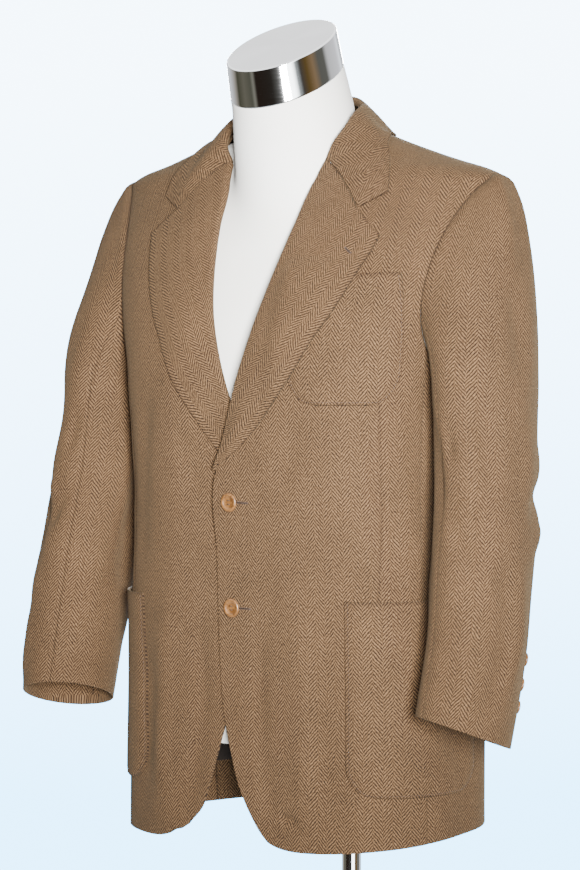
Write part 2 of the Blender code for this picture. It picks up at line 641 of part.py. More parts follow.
def fold_depth(angle, height):
    depth = 0 * angle
    for fold in SLEEVE_FOLDS:
        away = (np.degrees(angle) - fold.angle + 180) % 360 - 180
        depth = depth + fold.depth * np.exp(-((height - fold.height) / fold.half_height) ** 2
                                            - (away / fold.half_angle) ** 2)
    return depth


CAP_ROWS = np.array([0, 0.07, 0.17, 0.30, 0.46, 0.64, 0.82])
ARM_ROWS = np.linspace(1, 2, 12)


def sleeve_piece(name, first, last, columns, side):
    """A strip of the sleeve between two seams, from the armhole to the cuff."""
    edge = SEAM / 2 / SLEEVE[2].half_fore
    start, end = math.radians(first) + edge, math.radians(last) - edge
    angles = start + (end - start) * shares(columns, 0.02)
    way, angle = np.meshgrid(np.concatenate([CAP_ROWS, ARM_ROWS]), angles, indexing="ij")
    points = sleeve_at(angle, way)
    step = 1e-3
    round_it = sleeve_at(angle + step, way) - sleeve_at(angle - step, way)
    down_it = sleeve_at(angle, np.minimum(way + step, 2)) - sleeve_at(angle, np.maximum(way - step, 0))
    normal = unit(np.cross(round_it, down_it))
    points = points - normal * fold_depth(angle, points[..., 2])[..., None]
    sheet(f"{name}_{WORD[side]}", points, SLEEVE_CLOTH, TWEED, side)


def sleeve(side):
    sleeve_piece("top_sleeve", SLEEVE_BACK_SEAM, SLEEVE_FRONT_SEAM, 11, side)
    sleeve_piece("under_sleeve", SLEEVE_FRONT_SEAM, SLEEVE_BACK_SEAM + 360, 9, side)


Pocket = namedtuple("Pocket", "first last top bottom corner tilt")  # first and last in x or degrees of turn

HIP_POCKET = Pocket(first=0.130, last=math.radians(95), top=0.9600, bottom=0.7570, corner=0.034, tilt=0.0)
BREAST_POCKET = Pocket(first=0.074, last=math.radians(64.5), top=1.2885, bottom=1.1620, corner=0.034, tilt=0.0095)
POCKET_CLEARANCE = 0.0013
RIGHT_DROP = 0.007  # the right pocket's share of the jacket's hang
RIGHT_IN = 0.006  # how much nearer to the side the right pocket starts


def pocket(name, shape, side):
    """A patch pocket with rounded lower corners, laid on the jacket."""
    down = 1 - np.linspace(1, 0, 10) ** 1.5
    heights = shape.top - (shape.top - shape.bottom) * down
    inset = np.clip(shape.bottom + shape.corner - heights, 0, shape.corner)
    narrow = shape.corner - np.sqrt(shape.corner**2 - inset**2) * 0.98 - shape.corner * 0.02
    first = turn_at_x(shape.first + RIGHT_IN * (side < 0), heights)
    radius = reach_of(cut_at(JACKET, heights), (first + shape.last) / 2)
    s = np.linspace(0, 1, 9)
    start, end = first + narrow / radius, shape.last - narrow / radius
    turns = start[:, None] + (end - start)[:, None] * s
    grid = pair(turns, heights[:, None] + shape.tilt * s[None, :] * (1 - down)[:, None])[::-1]
    grid[..., 1] -= RIGHT_DROP * (side < 0)
    panel(name, grid, LEAF, TWEED, side, LEAF + POCKET_CLEARANCE)


def ring_solid(name, rings, material):
    """A closed solid through rings of points, with flat ends."""
    rings = np.asarray(rings)
    count, around = rings.shape[:2]
    faces = []
    for k in range(count - 1):
        for j in range(around):
            low, high = k * around, (k + 1) * around
            ahead = (j + 1) % around
            faces.append((low + j, low + ahead, high + ahead, high + j))
    faces.append(tuple(range(around))[::-1])
    faces.append(tuple(range((count - 1) * around, count * around)))
    return mesh_object(name, rings.reshape(-1, 3), faces, material)


FORM_SIDES = 32


def form_ring(height):
    """A ring of the dress form: its torso and its neck blended, slanting towards the neck's cut."""
    turn = np.linspace(0, 2 * math.pi, FORM_SIDES, endpoint=False)
    neck = table(NECK)
    neck_y, radius, slant = (smooth(neck["height"], neck[k], height) for k in ("centre_y", "radius", "slant"))
    cut = cut_at(TORSO, np.array(height))
    share = ease(1.437, 1.452, height)
    centre_y = cut.centre_y * (1 - share) + neck_y * share
    torso = reach_of(cut, turn) * (1 - share)
    ahead = centre_y - neck_y
    across = np.sqrt(np.maximum(radius**2 - (ahead * np.sin(turn)) ** 2, 0))
    column = (ahead * np.cos(turn) + across) * ease(1.28, 1.33, height)
    reach = (torso**8 + column**8) ** 0.125
    drop = math.tan(math.radians(slant)) * reach * np.cos(turn)
    return np.stack([reach * np.sin(turn), centre_y - reach * np.cos(turn), height - drop], -1)


def dress_form():
    heights = [FORM_FOOT, 0.809, 0.860, 0.950, 1.050, 1.150, 1.220, 1.280, 1.320, 1.360, 1.385, 1.400, 1.412,
               1.4235, 1.437, 1.452, 1.466, 1.480, 1.4905, 1.5005]
    ring_solid("torso_form", [form_ring(h) for h in heights], LINEN)


CapRing = namedtuple("CapRing", "rise radius")  # up the cap's middle line from its foot

CAP_PROFILE = (
    CapRing(0.0003, 0.0598),
    CapRing(0.0364, 0.0583),
    CapRing(0.0378, 0.0575),
    CapRing(CAP_HEIGHT, 0.0562),
)


def neck_cap():
    """The slanted metal cap: level sections of the neck, cut along its slant."""
    turn = np.linspace(0, 2 * math.pi, 40, endpoint=False)
    foot = NECK[-1]
    rings = []
    for ring in CAP_PROFILE:
        centre_y = foot.centre_y - ring.rise * 0.27
        height = foot.height + ring.rise - math.tan(CAP_SLANT) * ring.radius * np.cos(turn)
        rings.append(np.stack([ring.radius * np.sin(turn), centre_y - ring.radius * np.cos(turn), height], -1))
    ring_solid("neck_cap", rings, CHROME)


def turned(name, profile, steps, material, location=(0, 0, 0), rotation=None):
    """A turned shape from an outline of (radius, height) points, top to bottom."""
    mesh = bpy.data.meshes.new(name)
    mesh.from_pydata([(r, 0, h) for r, h in profile], [(k, k + 1) for k in range(len(profile) - 1)], [])
    made = bpy.data.objects.new(name, mesh)
    PARTS.objects.link(made)
    made.location = location
    if rotation is not None:
        made.rotation_mode = "QUATERNION"
        made.rotation_quaternion = rotation
    spin = made.modifiers.new("Screw", "SCREW")
    spin.steps = spin.render_steps = steps
    spin.use_merge_vertices = True
    spin.merge_threshold = 0.00001
    spin.use_smooth_shade = True
    mesh.materials.append(material)
    return made


def stand():
    rim = 0.0025
    plate = [
        (0, BASE_THICKNESS),
        (BASE_RADIUS - rim, BASE_THICKNESS - 0.001),
        (BASE_RADIUS, BASE_THICKNESS - 0.001 - rim),
        (BASE_RADIUS, 0),
        (0, 0),
    ]
    turned("base_plate", plate, 48, STEEL)
    foot = BASE_THICKNESS + SEAM
    rod = [(0, FORM_FOOT - SEAM), (POLE_RADIUS, FORM_FOOT - SEAM), (POLE_RADIUS, foot), (0, foot)]
    turned("pole", rod, 20, CHROME)


def button(name, point, normal, radius, side):
    """A round button with a raised rim round a dished middle, its back just off the cloth."""
    scale = radius / 0.010
    outline = [(0, 0.0022), (0.0058, 0.0022), (0.0070, 0.0033), (0.0086, 0.0034), (0.0100, 0.0022), (0.0088, 0.0)]
    profile = [(r * scale, h * scale) for r, h in outline] + [(0, 0)]
    mirror = np.array([side, 1, 1])
    place = (point + normal * 0.0008) * mirror
    from_up = np.cross((0, 0, 1), normal * mirror)
    turn = math.acos(float((normal * mirror)[2])) / 2
    axis = unit(from_up) * math.sin(turn)
    turned(name, profile, 14, HORN, place, (math.cos(turn), *axis))


def buttons():
    for number, height in enumerate(FRONT_BUTTON_HEIGHTS, 1):
        spot = turn_at_x(FRONT_BUTTON_X, np.array(height)), np.array(height)
        button(f"front_button_{number}", jacket_at(*spot), outward(jacket_at, *spot), FRONT_BUTTON_RADIUS, 1)
    angle = np.array(math.radians(CUFF_BUTTON_ANGLE))
    for number, height in enumerate(CUFF_BUTTON_HEIGHTS, 1):
        way = np.array(1 + (SLEEVE_TOP - height) / (SLEEVE_TOP - CUFF))
        normal = outward(sleeve_at, angle, way)
        point = sleeve_at(angle, way) - normal * fold_depth(angle, height)
        for side in WORD:
            button(f"cuff_button_{WORD[side]}_{number}", point, normal, CUFF_BUTTON_RADIUS, side)


def material(name, colour, roughness, metallic=0.0):
    made = bpy.data.materials.new(name)
    made.use_nodes = True
    shader = made.node_tree.nodes["Principled BSDF"]
    shader.inputs["Base Color"].default_value = (*colour, 1)
    shader.inputs["Roughness"].default_value = roughness
    shader.inputs["Metallic"].default_value = metallic
    return made


for old in list(bpy.data.objects):
    bpy.data.objects.remove(old, do_unlink=True)

PARTS = bpy.data.collections.new("tweed_jacket_on_dress_form")
bpy.context.scene.collection.children.link(PARTS)
WORD = {1: "left", -1: "right"}
TWEED = material("brown herringbone tweed", (0.235, 0.130, 0.066), 0.92)
LINEN = material("white covered form", (0.80, 0.79, 0.75), 0.75)
CHROME = material("polished chrome", (0.60, 0.60, 0.61), 0.12, 1.0)
STEEL = material("painted steel base", (0.62, 0.62, 0.63), 0.30, 1.0)
HORN = material("tan horn-like resin", (0.42, 0.20, 0.09), 0.35)

for wearer_side in WORD:
    front(wearer_side)
    side_body(wearer_side)
    back(wearer_side)
    sleeve(wearer_side)
    roll_end, roll_along = lapel(wearer_side)
    pocket(f"hip_pocket_{WORD[wearer_side]}", HIP_POCKET, wearer_side)
pocket("breast_pocket", BREAST_POCKET, 1)
collar(roll_end, roll_along)
buttons()
dress_form()
neck_cap()
stand()
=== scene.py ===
"""The looks of a man's herringbone tweed sport jacket, worn by a white limbless dress form on a chrome stand.

Metres, +Z up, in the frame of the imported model: the origin is the middle of the base's underside, the
jacket's front faces -Y and its wearer's left is +X. Turns run round the body's upright axis from 0 at the
front centre through 90 degrees at the wearer's left side to 180 at the back centre.
"""

import math
from collections import namedtuple

import bpy
import numpy as np
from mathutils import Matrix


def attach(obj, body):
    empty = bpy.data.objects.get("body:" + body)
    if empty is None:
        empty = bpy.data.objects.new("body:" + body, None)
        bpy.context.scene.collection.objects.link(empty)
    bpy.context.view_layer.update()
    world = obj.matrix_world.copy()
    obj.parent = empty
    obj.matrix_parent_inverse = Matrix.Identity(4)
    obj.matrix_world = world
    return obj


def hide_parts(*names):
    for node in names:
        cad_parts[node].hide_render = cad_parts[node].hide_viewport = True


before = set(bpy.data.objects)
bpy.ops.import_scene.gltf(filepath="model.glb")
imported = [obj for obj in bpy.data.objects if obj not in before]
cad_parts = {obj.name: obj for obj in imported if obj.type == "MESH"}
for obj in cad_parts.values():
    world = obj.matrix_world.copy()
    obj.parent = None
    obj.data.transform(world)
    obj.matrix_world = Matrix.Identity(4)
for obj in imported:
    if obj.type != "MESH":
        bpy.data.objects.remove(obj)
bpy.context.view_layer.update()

# ---------------------------------------------------------------------------------------------------------
# Base and pole. A heavy round steel plate on the floor carries a polished tube that goes up into the form.
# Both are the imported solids: the plate is brushed in circles and satin plated, the tube is bright chrome.
# ---------------------------------------------------------------------------------------------------------


def linear(colour):
    """An sRGB hex colour as linear red, green, blue and an alpha of 1."""
    parts = [int(colour[k:k + 2], 16) / 255 for k in (1, 3, 5)]
    return tuple(p / 12.92 if p <= 0.04045 else ((p + 0.055) / 1.055) ** 2.4 for p in parts) + (1.0,)


def result(made):
    """The first output of a node that its settings leave in use."""
    return next(socket for socket in made.outputs if socket.enabled)


def node(tree, kind, links=None, **settings):
    """Adds a shader node with its settings. links gives its inputs: a value, another node or its output."""
    made = tree.nodes.new("ShaderNode" + kind)
    for name, value in settings.items():
        setattr(made, name, value)
    for socket, value in (links or {}).items():
        if isinstance(value, bpy.types.Node):
            value = result(value)
        if isinstance(value, bpy.types.NodeSocket):
            tree.links.new(value, made.inputs[socket])
        else:
            made.inputs[socket].default_value = value
    return made


def sums(tree, operation, *values):
    """A node that works out one operation on up to three numbers."""
    return node(tree, "Math", dict(enumerate(values)), operation=operation)


def noise(tree, place, scale, detail, **more):
    """Cloudy noise with scale features a metre, or three numbers for the three axes."""
    if isinstance(scale, tuple):
        place, scale = node(tree, "Mapping", {"Vector": place, "Scale": scale}), 1.0
    return node(tree, "TexNoise", {"Vector": place, "Scale": scale, "Detail": detail, **more})


def ranged(tree, value, to_low=0.0, to_high=1.0, low=0.0, high=1.0):
    """A value moved from the range low to high onto another, and held at its ends."""
    ends = {"From Min": low, "From Max": high, "To Min": to_low, "To Max": to_high}
    return node(tree, "MapRange", {"Value": value, **ends})


def mixed(tree, share, low, high):
    """A blend from one colour to another, each a hex colour, a linear one or a node."""
    low, high = (linear(colour) if isinstance(colour, str) else colour for colour in (low, high))
    return node(tree, "Mix", {0: share, 6: low, 7: high}, data_type="RGBA")


def feed(shader, **inputs):
    """Links nodes to a shader's inputs."""
    for name, made in inputs.items():
        shader.id_data.links.new(result(made), shader.inputs[name.replace("_", " ")])


def emboss(tree, shader, height, strength, depth):
    """Fine relief on a shader, depth metres from its low to its high places."""
    feed(shader, Normal=node(tree, "Bump", {"Height": height, "Strength": strength, "Distance": depth}))


def finish(name, colour, roughness, **sockets):
    """A new material, with its node tree and its main shader."""
    made = bpy.data.materials.new(name)
    made.use_nodes = True
    tree = made.node_tree
    shader = tree.nodes["Principled BSDF"]
    shader.inputs["Base Color"].default_value = linear(colour)
    shader.inputs["Roughness"].default_value = roughness
    for socket, value in sockets.items():
        shader.inputs[socket.replace("_", " ")].default_value = value
    return made, tree, shader


def dress(cad_name, material):
    """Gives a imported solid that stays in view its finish."""
    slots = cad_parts[cad_name].material_slots
    for slot in slots:
        slot.material = material


# Chrome plate, polished: a hard mirror that shows the room as upright streaks, with faint wiping marks.
CHROME, tree, shader = finish("polished chrome plate", "#D9DADC", 0.06, Metallic=1.0)
place = node(tree, "TexCoord").outputs["Object"]
marks = noise(tree, place, (60.0, 60.0, 900.0), 3.0)
feed(shader, Roughness=ranged(tree, marks, 0.035, 0.10))

# Satin plated steel, brushed in circles 0.3 mm apart: a soft grey shine with a sweep round the middle.
PLATE, tree, shader = finish("satin plated steel", "#BFC0C2", 0.30, Metallic=1.0)
place = node(tree, "TexCoord").outputs["Object"]
spot = node(tree, "SeparateXYZ", {0: place})
square_x, square_y = (sums(tree, "POWER", spot.outputs[k], 2.0) for k in (0, 1))
radius = sums(tree, "SQRT", sums(tree, "ADD", square_x, square_y))
circles = node(tree, "TexNoise", {"W": radius, "Scale": 3000.0}, noise_dimensions="1D")
feed(shader, Roughness=ranged(tree, circles, 0.22, 0.42))
emboss(tree, shader, circles, 0.15, 0.0001)

dress("base_plate", PLATE)
dress("pole", CHROME)

# ---------------------------------------------------------------------------------------------------------
# Dress form. Carved foam without arms, cut level above the hips, under a white cotton cover stretched tight.
# The cover is a fine jersey, so the neck reads as smooth chalky white with only a soft shadow under the cap.
# ---------------------------------------------------------------------------------------------------------
Section = namedtuple("Section", "height half_width front back centre_y front_power back_power")

FORM_FOOT = 0.797
TORSO = (
    Section(FORM_FOOT, 0.160, 0.098, 0.104, -0.082, 2.4, 2.4),
    Section(0.809, 0.167, 0.104, 0.110, -0.082, 2.4, 2.4),
    Section(0.860, 0.172, 0.107, 0.110, -0.082, 2.4, 2.4),
    Section(0.950, 0.164, 0.107, 0.098, -0.082, 2.4, 2.4),
    Section(1.050, 0.152, 0.108, 0.090, -0.082, 2.4, 2.4),
    Section(1.150, 0.168, 0.113, 0.096, -0.082, 2.5, 2.4),
    Section(1.220, 0.180, 0.106, 0.104, -0.082, 2.5, 2.4),
    Section(1.280, 0.187, 0.093, 0.106, -0.082, 2.4, 2.4),
    Section(1.320, 0.190, 0.082, 0.102, -0.082, 2.3, 2.3),
    Section(1.360, 0.191, 0.067, 0.090, -0.082, 2.1, 2.2),
    Section(1.385, 0.188, 0.053, 0.078, -0.081, 2.0, 2.1),
    Section(1.400, 0.178, 0.042, 0.066, -0.080, 2.0, 2.0),
    Section(1.412, 0.160, 0.032, 0.052, -0.081, 2.0, 2.0),
    Section(1.4235, 0.136, 0.024, 0.038, -0.085, 2.0, 2.0),
    Section(1.437, 0.098, 0.014, 0.022, -0.091, 2.0, 2.0),
    Section(1.450, 0.050, 0.006, 0.008, -0.097, 2.0, 2.0),
)

NeckRing = namedtuple("NeckRing", "height centre_y radius slant")  # slant in degrees

NECK = (
    NeckRing(1.300, -0.085, 0.0660, 0.0),
    NeckRing(1.360, -0.090, 0.0690, 0.0),
    NeckRing(1.400, -0.0955, 0.0690, 0.0),
    NeckRing(1.437, -0.1030, 0.0670, 0.0),
    NeckRing(1.452, -0.1055, 0.0658, 6.0),
    NeckRing(1.466, -0.1083, 0.0645, 13.0),
    NeckRing(1.480, -0.1125, 0.0625, 19.5),
    NeckRing(1.4905, -0.1160, 0.0610, 24.5),
    NeckRing(1.5005, -0.1200, 0.0598, 27.7),
)

NECK_START = (1.28, 1.33)  # heights over which the neck comes out of the torso
NECK_ALONE = (1.437, 1.452)  # and over which the torso's shape gives way to it


def table(rows):
    """The columns of a table of named rows, each as an array."""
    return {name: np.array([getattr(row, name) for row in rows]) for name in rows[0]._fields}


def smooth(x, y, at):
    """A cubic curve through the points (x, y), with x rising, read at the numbers at."""
    at = np.clip(at, x[0], x[-1])
    slope = np.gradient(y, x)
    i = np.clip(np.searchsorted(x, at) - 1, 0, len(x) - 2)
    step = x[i + 1] - x[i]
    t = (at - x[i]) / step
    start = (t - 1) ** 2 * t * step * slope[i]
    end = (t - 1) * t * t * step * slope[i + 1]
    return y[i] + (y[i + 1] - y[i]) * (3 - 2 * t) * t * t + start + end


def ease(low, high, x):
    """0 below low and 1 above high, with a soft step between them."""
    t = np.clip((x - low) / (high - low), 0, 1)
    return (3 - 2 * t) * t * t


def unit(v):
    return v / np.linalg.norm(v, axis=-1, keepdims=True)


def cut_at(sections, height):
    """Each column of a table of level cuts, read at the heights."""
    columns = table(sections)
    return Section(*(smooth(columns["height"], columns[name], height) for name in Section._fields))


def reach_of(cut, turn):
    """How far a level cut lies from its centre in the direction of each turn, in radians."""
    sine, cosine = np.abs(np.sin(turn)), np.cos(turn)
    depth = np.where(cosine > 0, cut.front, cut.back)
    power = np.where(cosine > 0, cut.front_power, cut.back_power)
    return ((sine / cut.half_width) ** power + (np.abs(cosine) / depth) ** power) ** (-1 / power)


def mesh_object(name, points, faces, materials, picks=None):
    """A smooth mesh. picks gives the material's number for each face."""
    mesh = bpy.data.meshes.new(name)
    mesh.from_pydata(np.asarray(points).tolist(), [], faces)
    mesh.shade_smooth()
    for material in materials:
        mesh.materials.append(material)
    if picks is not None:
        mesh.polygons.foreach_set("material_index", np.asarray(picks, dtype=np.int32))
    made = bpy.data.objects.new(name, mesh)
    bpy.context.collection.objects.link(made)
    return made


def ring_faces(count, around):
    """Four-sided faces between rings of points, and one face that closes each end."""
    k, j = np.meshgrid(np.arange(count - 1), np.arange(around), indexing="ij")
    ahead = (j + 1) % around
    corners = (k * around + j, k * around + ahead, (k + 1) * around + ahead, (k + 1) * around + j)
    faces = np.stack(corners, -1).reshape(-1, 4).tolist()
    ends = [list(range(around))[::-1], list(range((count - 1) * around, count * around))]
    return faces + ends


def form_ring(height, around):
    """A ring of the dress form: its torso and its neck blended, slanting towards the neck's cut."""
    turn = np.linspace(0, 2 * math.pi, around, endpoint=False)
    neck = table(NECK)
    neck_y, radius, slant = (smooth(neck["height"], neck[k], height) for k in ("centre_y", "radius", "slant"))
    cut = cut_at(TORSO, np.array(height))
    share = ease(*NECK_ALONE, height)
    centre_y = cut.centre_y * (1 - share) + neck_y * share
    torso = reach_of(cut, turn) * (1 - share)
    ahead = centre_y - neck_y
    across = np.sqrt(np.maximum(radius**2 - (ahead * np.sin(turn)) ** 2, 0))
    column = (ahead * np.cos(turn) + across) * ease(*NECK_START, height)
    reach = (torso**8 + column**8) ** 0.125
    drop = math.tan(math.radians(slant)) * reach * np.cos(turn)
    return np.stack([reach * np.sin(turn), centre_y - reach * np.cos(turn), height - drop], -1)


# Cotton jersey, white, stretched: chalky and matt, with rows of loops 1 mm apart that only show close up.
JERSEY, tree, shader = finish("white cotton jersey cover", "#F6F5EF", 0.85, Sheen_Weight=0.12)
shader.inputs["Sheen Roughness"].default_value = 0.5
place = node(tree, "TexCoord").outputs["Object"]
shade = ranged(tree, noise(tree, place, 9.0, 3.0), low=0.3, high=0.7)
feed(shader, Base_Color=mixed(tree, shade, "#F4F2EA", "#F9F8F3"))
emboss(tree, shader, noise(tree, place, (1000.0, 1000.0, 1300.0), 2.0), 0.25, 0.0003)

FORM_AROUND = 96
SHARP_ANGLE = math.radians(50)
FORM_TOP = NECK[-1].height
form_heights = np.concatenate([[FORM_FOOT, 0.799, 0.803], np.linspace(FORM_FOOT + 0.012, FORM_TOP, 110)])
form_rings = np.array([form_ring(h, FORM_AROUND) for h in form_heights])
form_faces = ring_faces(len(form_rings), FORM_AROUND)
form = mesh_object("covered_torso_form", form_rings.reshape(-1, 3), form_faces, [JERSEY])
form.data.set_sharp_from_angle(angle=SHARP_ANGLE)
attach(form, "root")
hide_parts("torso_form")

# ---------------------------------------------------------------------------------------------------------
# Neck cap. A spun metal cap 12 cm across and 38 mm deep, cut on the slant and pressed over the form's neck.
# Its band is polished like a mirror, and its flat top is brushed to a soft grey.
# ---------------------------------------------------------------------------------------------------------
CapRing = namedtuple("CapRing", "rise radius")  # up the cap's middle line from its foot

CAP_SLANT = math.radians(27.7)
CAP_HEIGHT = 0.038
CAP_TOP_RADIUS = 0.0583
CAP_ROUND = 0.0016  # radius of the spun edge between band and top
CAP_LEAN = 0.27  # how far each ring moves forward as it rises

# Brushed stainless steel: straight strokes along the slant, 0.2 mm apart, that spread each highlight.
BRUSHED, tree, shader = finish("brushed stainless steel", "#C9CACC", 0.34, Metallic=1.0, Anisotropic=0.5)
place = node(tree, "TexCoord").outputs["Object"]
strokes = noise(tree, place, (2500.0, 40.0, 40.0), 2.0)
feed(shader, Roughness=ranged(tree, strokes, 0.28, 0.44))
emboss(tree, shader, strokes, 0.1, 0.00005)

CAP_AROUND = 128
arc = np.radians(np.linspace(0, 90, 6))
cap_profile = [CapRing(0.0003, 0.0598), CapRing(0.0010, 0.0601), CapRing(0.0018, 0.0599)]
for a in arc:
    rise = CAP_HEIGHT - CAP_ROUND * (1 - math.sin(a))
    cap_profile.append(CapRing(rise, CAP_TOP_RADIUS - CAP_ROUND * (1 - math.cos(a))))
cap_profile.append(CapRing(CAP_HEIGHT, CAP_TOP_RADIUS - CAP_ROUND - 0.0006))
cap_turn = np.linspace(0, 2 * math.pi, CAP_AROUND, endpoint=False)
cap_rings = []
for ring in cap_profile:
    centre_y = NECK[-1].centre_y - ring.rise * CAP_LEAN
    x, ahead = ring.radius * np.sin(cap_turn), ring.radius * np.cos(cap_turn)
    height = FORM_TOP + ring.rise - math.tan(CAP_SLANT) * ahead
    cap_rings.append(np.stack([x, centre_y - ahead, height], -1))
cap_faces = ring_faces(len(cap_rings), CAP_AROUND)
picks = [0] * (len(cap_faces) - 1) + [1]
cap = mesh_object("spun_neck_cap", np.concatenate(cap_rings), cap_faces, [CHROME, BRUSHED], picks)
cap.data.set_sharp_from_angle(angle=SHARP_ANGLE)
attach(cap, "root")
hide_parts("neck_cap")

# ---------------------------------------------------------------------------------------------------------
# Fronts. Each is one cut of wool tweed with canvas behind it, from its free edge to the side seam, shaped
# by a long sewn dart. The left front laps over the right. The edges are turned in and pressed, not stitched.
# ---------------------------------------------------------------------------------------------------------
JACKET = (
    Section(0.690, 0.2035, 0.1255, 0.1290, -0.0820, 2.9, 2.4),
    Section(0.760, 0.2025, 0.1255, 0.1275, -0.0820, 2.9, 2.4),
    Section(0.860, 0.1995, 0.1265, 0.1240, -0.0820, 2.9, 2.4),
    Section(0.950, 0.1970, 0.1300, 0.1160, -0.0820, 2.9, 2.4),
    Section(1.060, 0.1875, 0.1345, 0.1080, -0.0820, 2.9, 2.4),
    Section(1.130, 0.1895, 0.1375, 0.1140, -0.0820, 3.0, 2.4),
    Section(1.195, 0.1960, 0.1390, 0.1220, -0.0820, 3.0, 2.4),
    Section(1.240, 0.2100, 0.1310, 0.1240, -0.0815, 2.9, 2.4),
    Section(1.297, 0.2280, 0.1120, 0.1230, -0.0805, 2.7, 2.4),
    Section(1.345, 0.2360, 0.0945, 0.1160, -0.0780, 2.4, 2.3),
    Section(1.385, 0.2405, 0.0790, 0.1020, -0.0755, 2.0, 2.1),
    Section(1.398, 0.2370, 0.0730, 0.0950, -0.0750, 2.0, 2.0),
    Section(1.406, 0.2200, 0.0680, 0.0910, -0.0760, 2.0, 1.9),
    Section(1.4157, 0.1860, 0.0605, 0.0870, -0.0780, 2.0, 1.8),
    Section(1.4293, 0.1450, 0.0490, 0.0840, -0.0840, 2.0, 1.7),
    Section(1.4430, 0.1070, 0.0320, 0.0825, -0.0900, 2.0, 1.7),
    Section(1.4520, 0.0820, 0.0180, 0.0790, -0.0930, 2.0, 1.8),
    Section(1.4600, 0.0700, 0.0150, 0.0740, -0.0950, 2.0, 1.9),
)

CLOTH = 0.0024  # thickness of tweed, canvas and lining
LEAF = 0.0022  # thickness of a lapel, a collar or a pocket
SEAM = -0.0004  # sewn edges press into each other, so nothing shows between them
CLEARANCE = 0.0005  # of a leaf from the cloth under it
NECK_HEIGHT = 1.452
BREAK_HEIGHT = 1.085
ROLL_TOP = 1.394
CELL = 0.005  # size of a cell of the cloth's mesh

EdgePoint = namedtuple("EdgePoint", "height left_x right_x")

FRONT_EDGE = (
    EdgePoint(0.7030, 0.0380, 0.0880),
    EdgePoint(0.7120, 0.0290, 0.0710),
    EdgePoint(0.7250, 0.0195, 0.0556),
    EdgePoint(0.7555, 0.0025, 0.0415),
    EdgePoint(0.7910, -0.0085, 0.0294),
    EdgePoint(0.8330, -0.0178, 0.0160),
    EdgePoint(0.8700, -0.0210, 0.0030),
    EdgePoint(0.9050, -0.0223, -0.0090),
    EdgePoint(0.9500, -0.0225, -0.0165),
    EdgePoint(1.0000, -0.0225, -0.0180),
    EdgePoint(BREAK_HEIGHT, -0.0225, -0.0180),
    EdgePoint(1.1200, -0.0075, 0.0020),
    EdgePoint(1.1590, 0.0050, 0.0115),
    EdgePoint(1.2080, 0.0200, 0.0275),
    EdgePoint(1.2560, 0.0315, 0.0405),
    EdgePoint(1.2970, 0.0405, 0.0490),
    EdgePoint(1.3470, 0.0515, 0.0575),
    EdgePoint(ROLL_TOP, 0.0620, 0.0620),
    EdgePoint(1.4120, 0.0700, 0.0700),
    EdgePoint(1.4220, 0.0755, 0.0755),
    EdgePoint(1.4400, 0.0820, 0.0820),
    EdgePoint(NECK_HEIGHT, 0.0820, 0.0820),
)

HemPoint = namedtuple("HemPoint", "turn left_height right_height")

HEM = (
    HemPoint(-30, 0.6965, 0.6965),
    HemPoint(45, 0.6970, 0.6930),
    HemPoint(75, 0.7080, 0.6960),
    HemPoint(110, 0.7150, 0.7000),
    HemPoint(150, 0.7210, 0.7150),
    HemPoint(180, 0.7260, 0.7260),
)

WORD = {1: "left", -1: "right"}
ARMHOLE_MIDDLE = 1.2965
ARMHOLE_HALF_HEIGHT = 0.1035
ARMHOLE_CENTRE_Y = -0.0855
ARMHOLE_TOP_Y = -0.0750
ARMHOLE_HALF_WIDTH = 0.0665
ARMHOLE_EGG = 0.42  # how much fuller its lower half is
FRONT_SEAM_ANGLE = 142.0  # where the side seams meet the armhole, in degrees from its top
BACK_SEAM_ANGLE = 217.0
BACK_SEAM_HEM_TURN = 112.0  # where the back one ends, in degrees round the hem
RIGHT_LAP_DEPTH = 0.0032  # how far the right front lies in, under the left
RIGHT_ROLL_DEPTH = 0.0095  # and its roll line
RIGHT_ROLL_START = (1.00, 1.06)  # heights over which the second takes over from the first
RIGHT_LAP_TOP = (1.19, 1.31)  # and over which the fronts come level
RIGHT_LAP_SIDE = (0.020, 0.090)  # as they do over these distances from the centre plane
ARMHOLE_QUIET = (1.20, 1.26)  # heights over which creases fade below the armhole
BACK_CREASED = (2.0, 2.5)  # and turns, in radians, past which they don't
SEAM_LENGTH = 0.52
ARM_LENGTH = 0.27  # half of the armhole's edge
SEAM_SHARES = np.array([0, 0.022, 0.055, 0.105, 0.18, 0.28, 0.40, 0.52, 0.64, 0.74, 0.83, 0.915, 1.0])
ARM_SHARES = np.array([0, 0.12, 0.26, 0.41, 0.56, 0.70, 0.83, 0.93, 0.985, 1.0])
TOP_HEIGHTS = np.array([1.247, 1.280, 1.313, 1.346, 1.380, 1.408, 1.430, 1.4505, NECK_HEIGHT])
SEAM_COUNTS = np.maximum(np.ceil(np.diff(SEAM_SHARES) * SEAM_LENGTH / CELL), 1).astype(int)
ARM_COUNTS = np.maximum(np.ceil(np.diff(ARM_SHARES) * ARM_LENGTH / CELL), 1).astype(int)
SHOULDER_SPACES = 4.0  # how many seam spaces the shoulder seam takes
BODY_RADIUS = 0.19  # turns degrees round the body into metres

# Soft creases of the body: each a shallow ridge or, below zero, a trough, from one place to another.
# Turns are in degrees, widths and depths in metres, and side 0 is on both sides.
Crease = namedtuple("Crease", "side turn height end_turn end_height width depth")

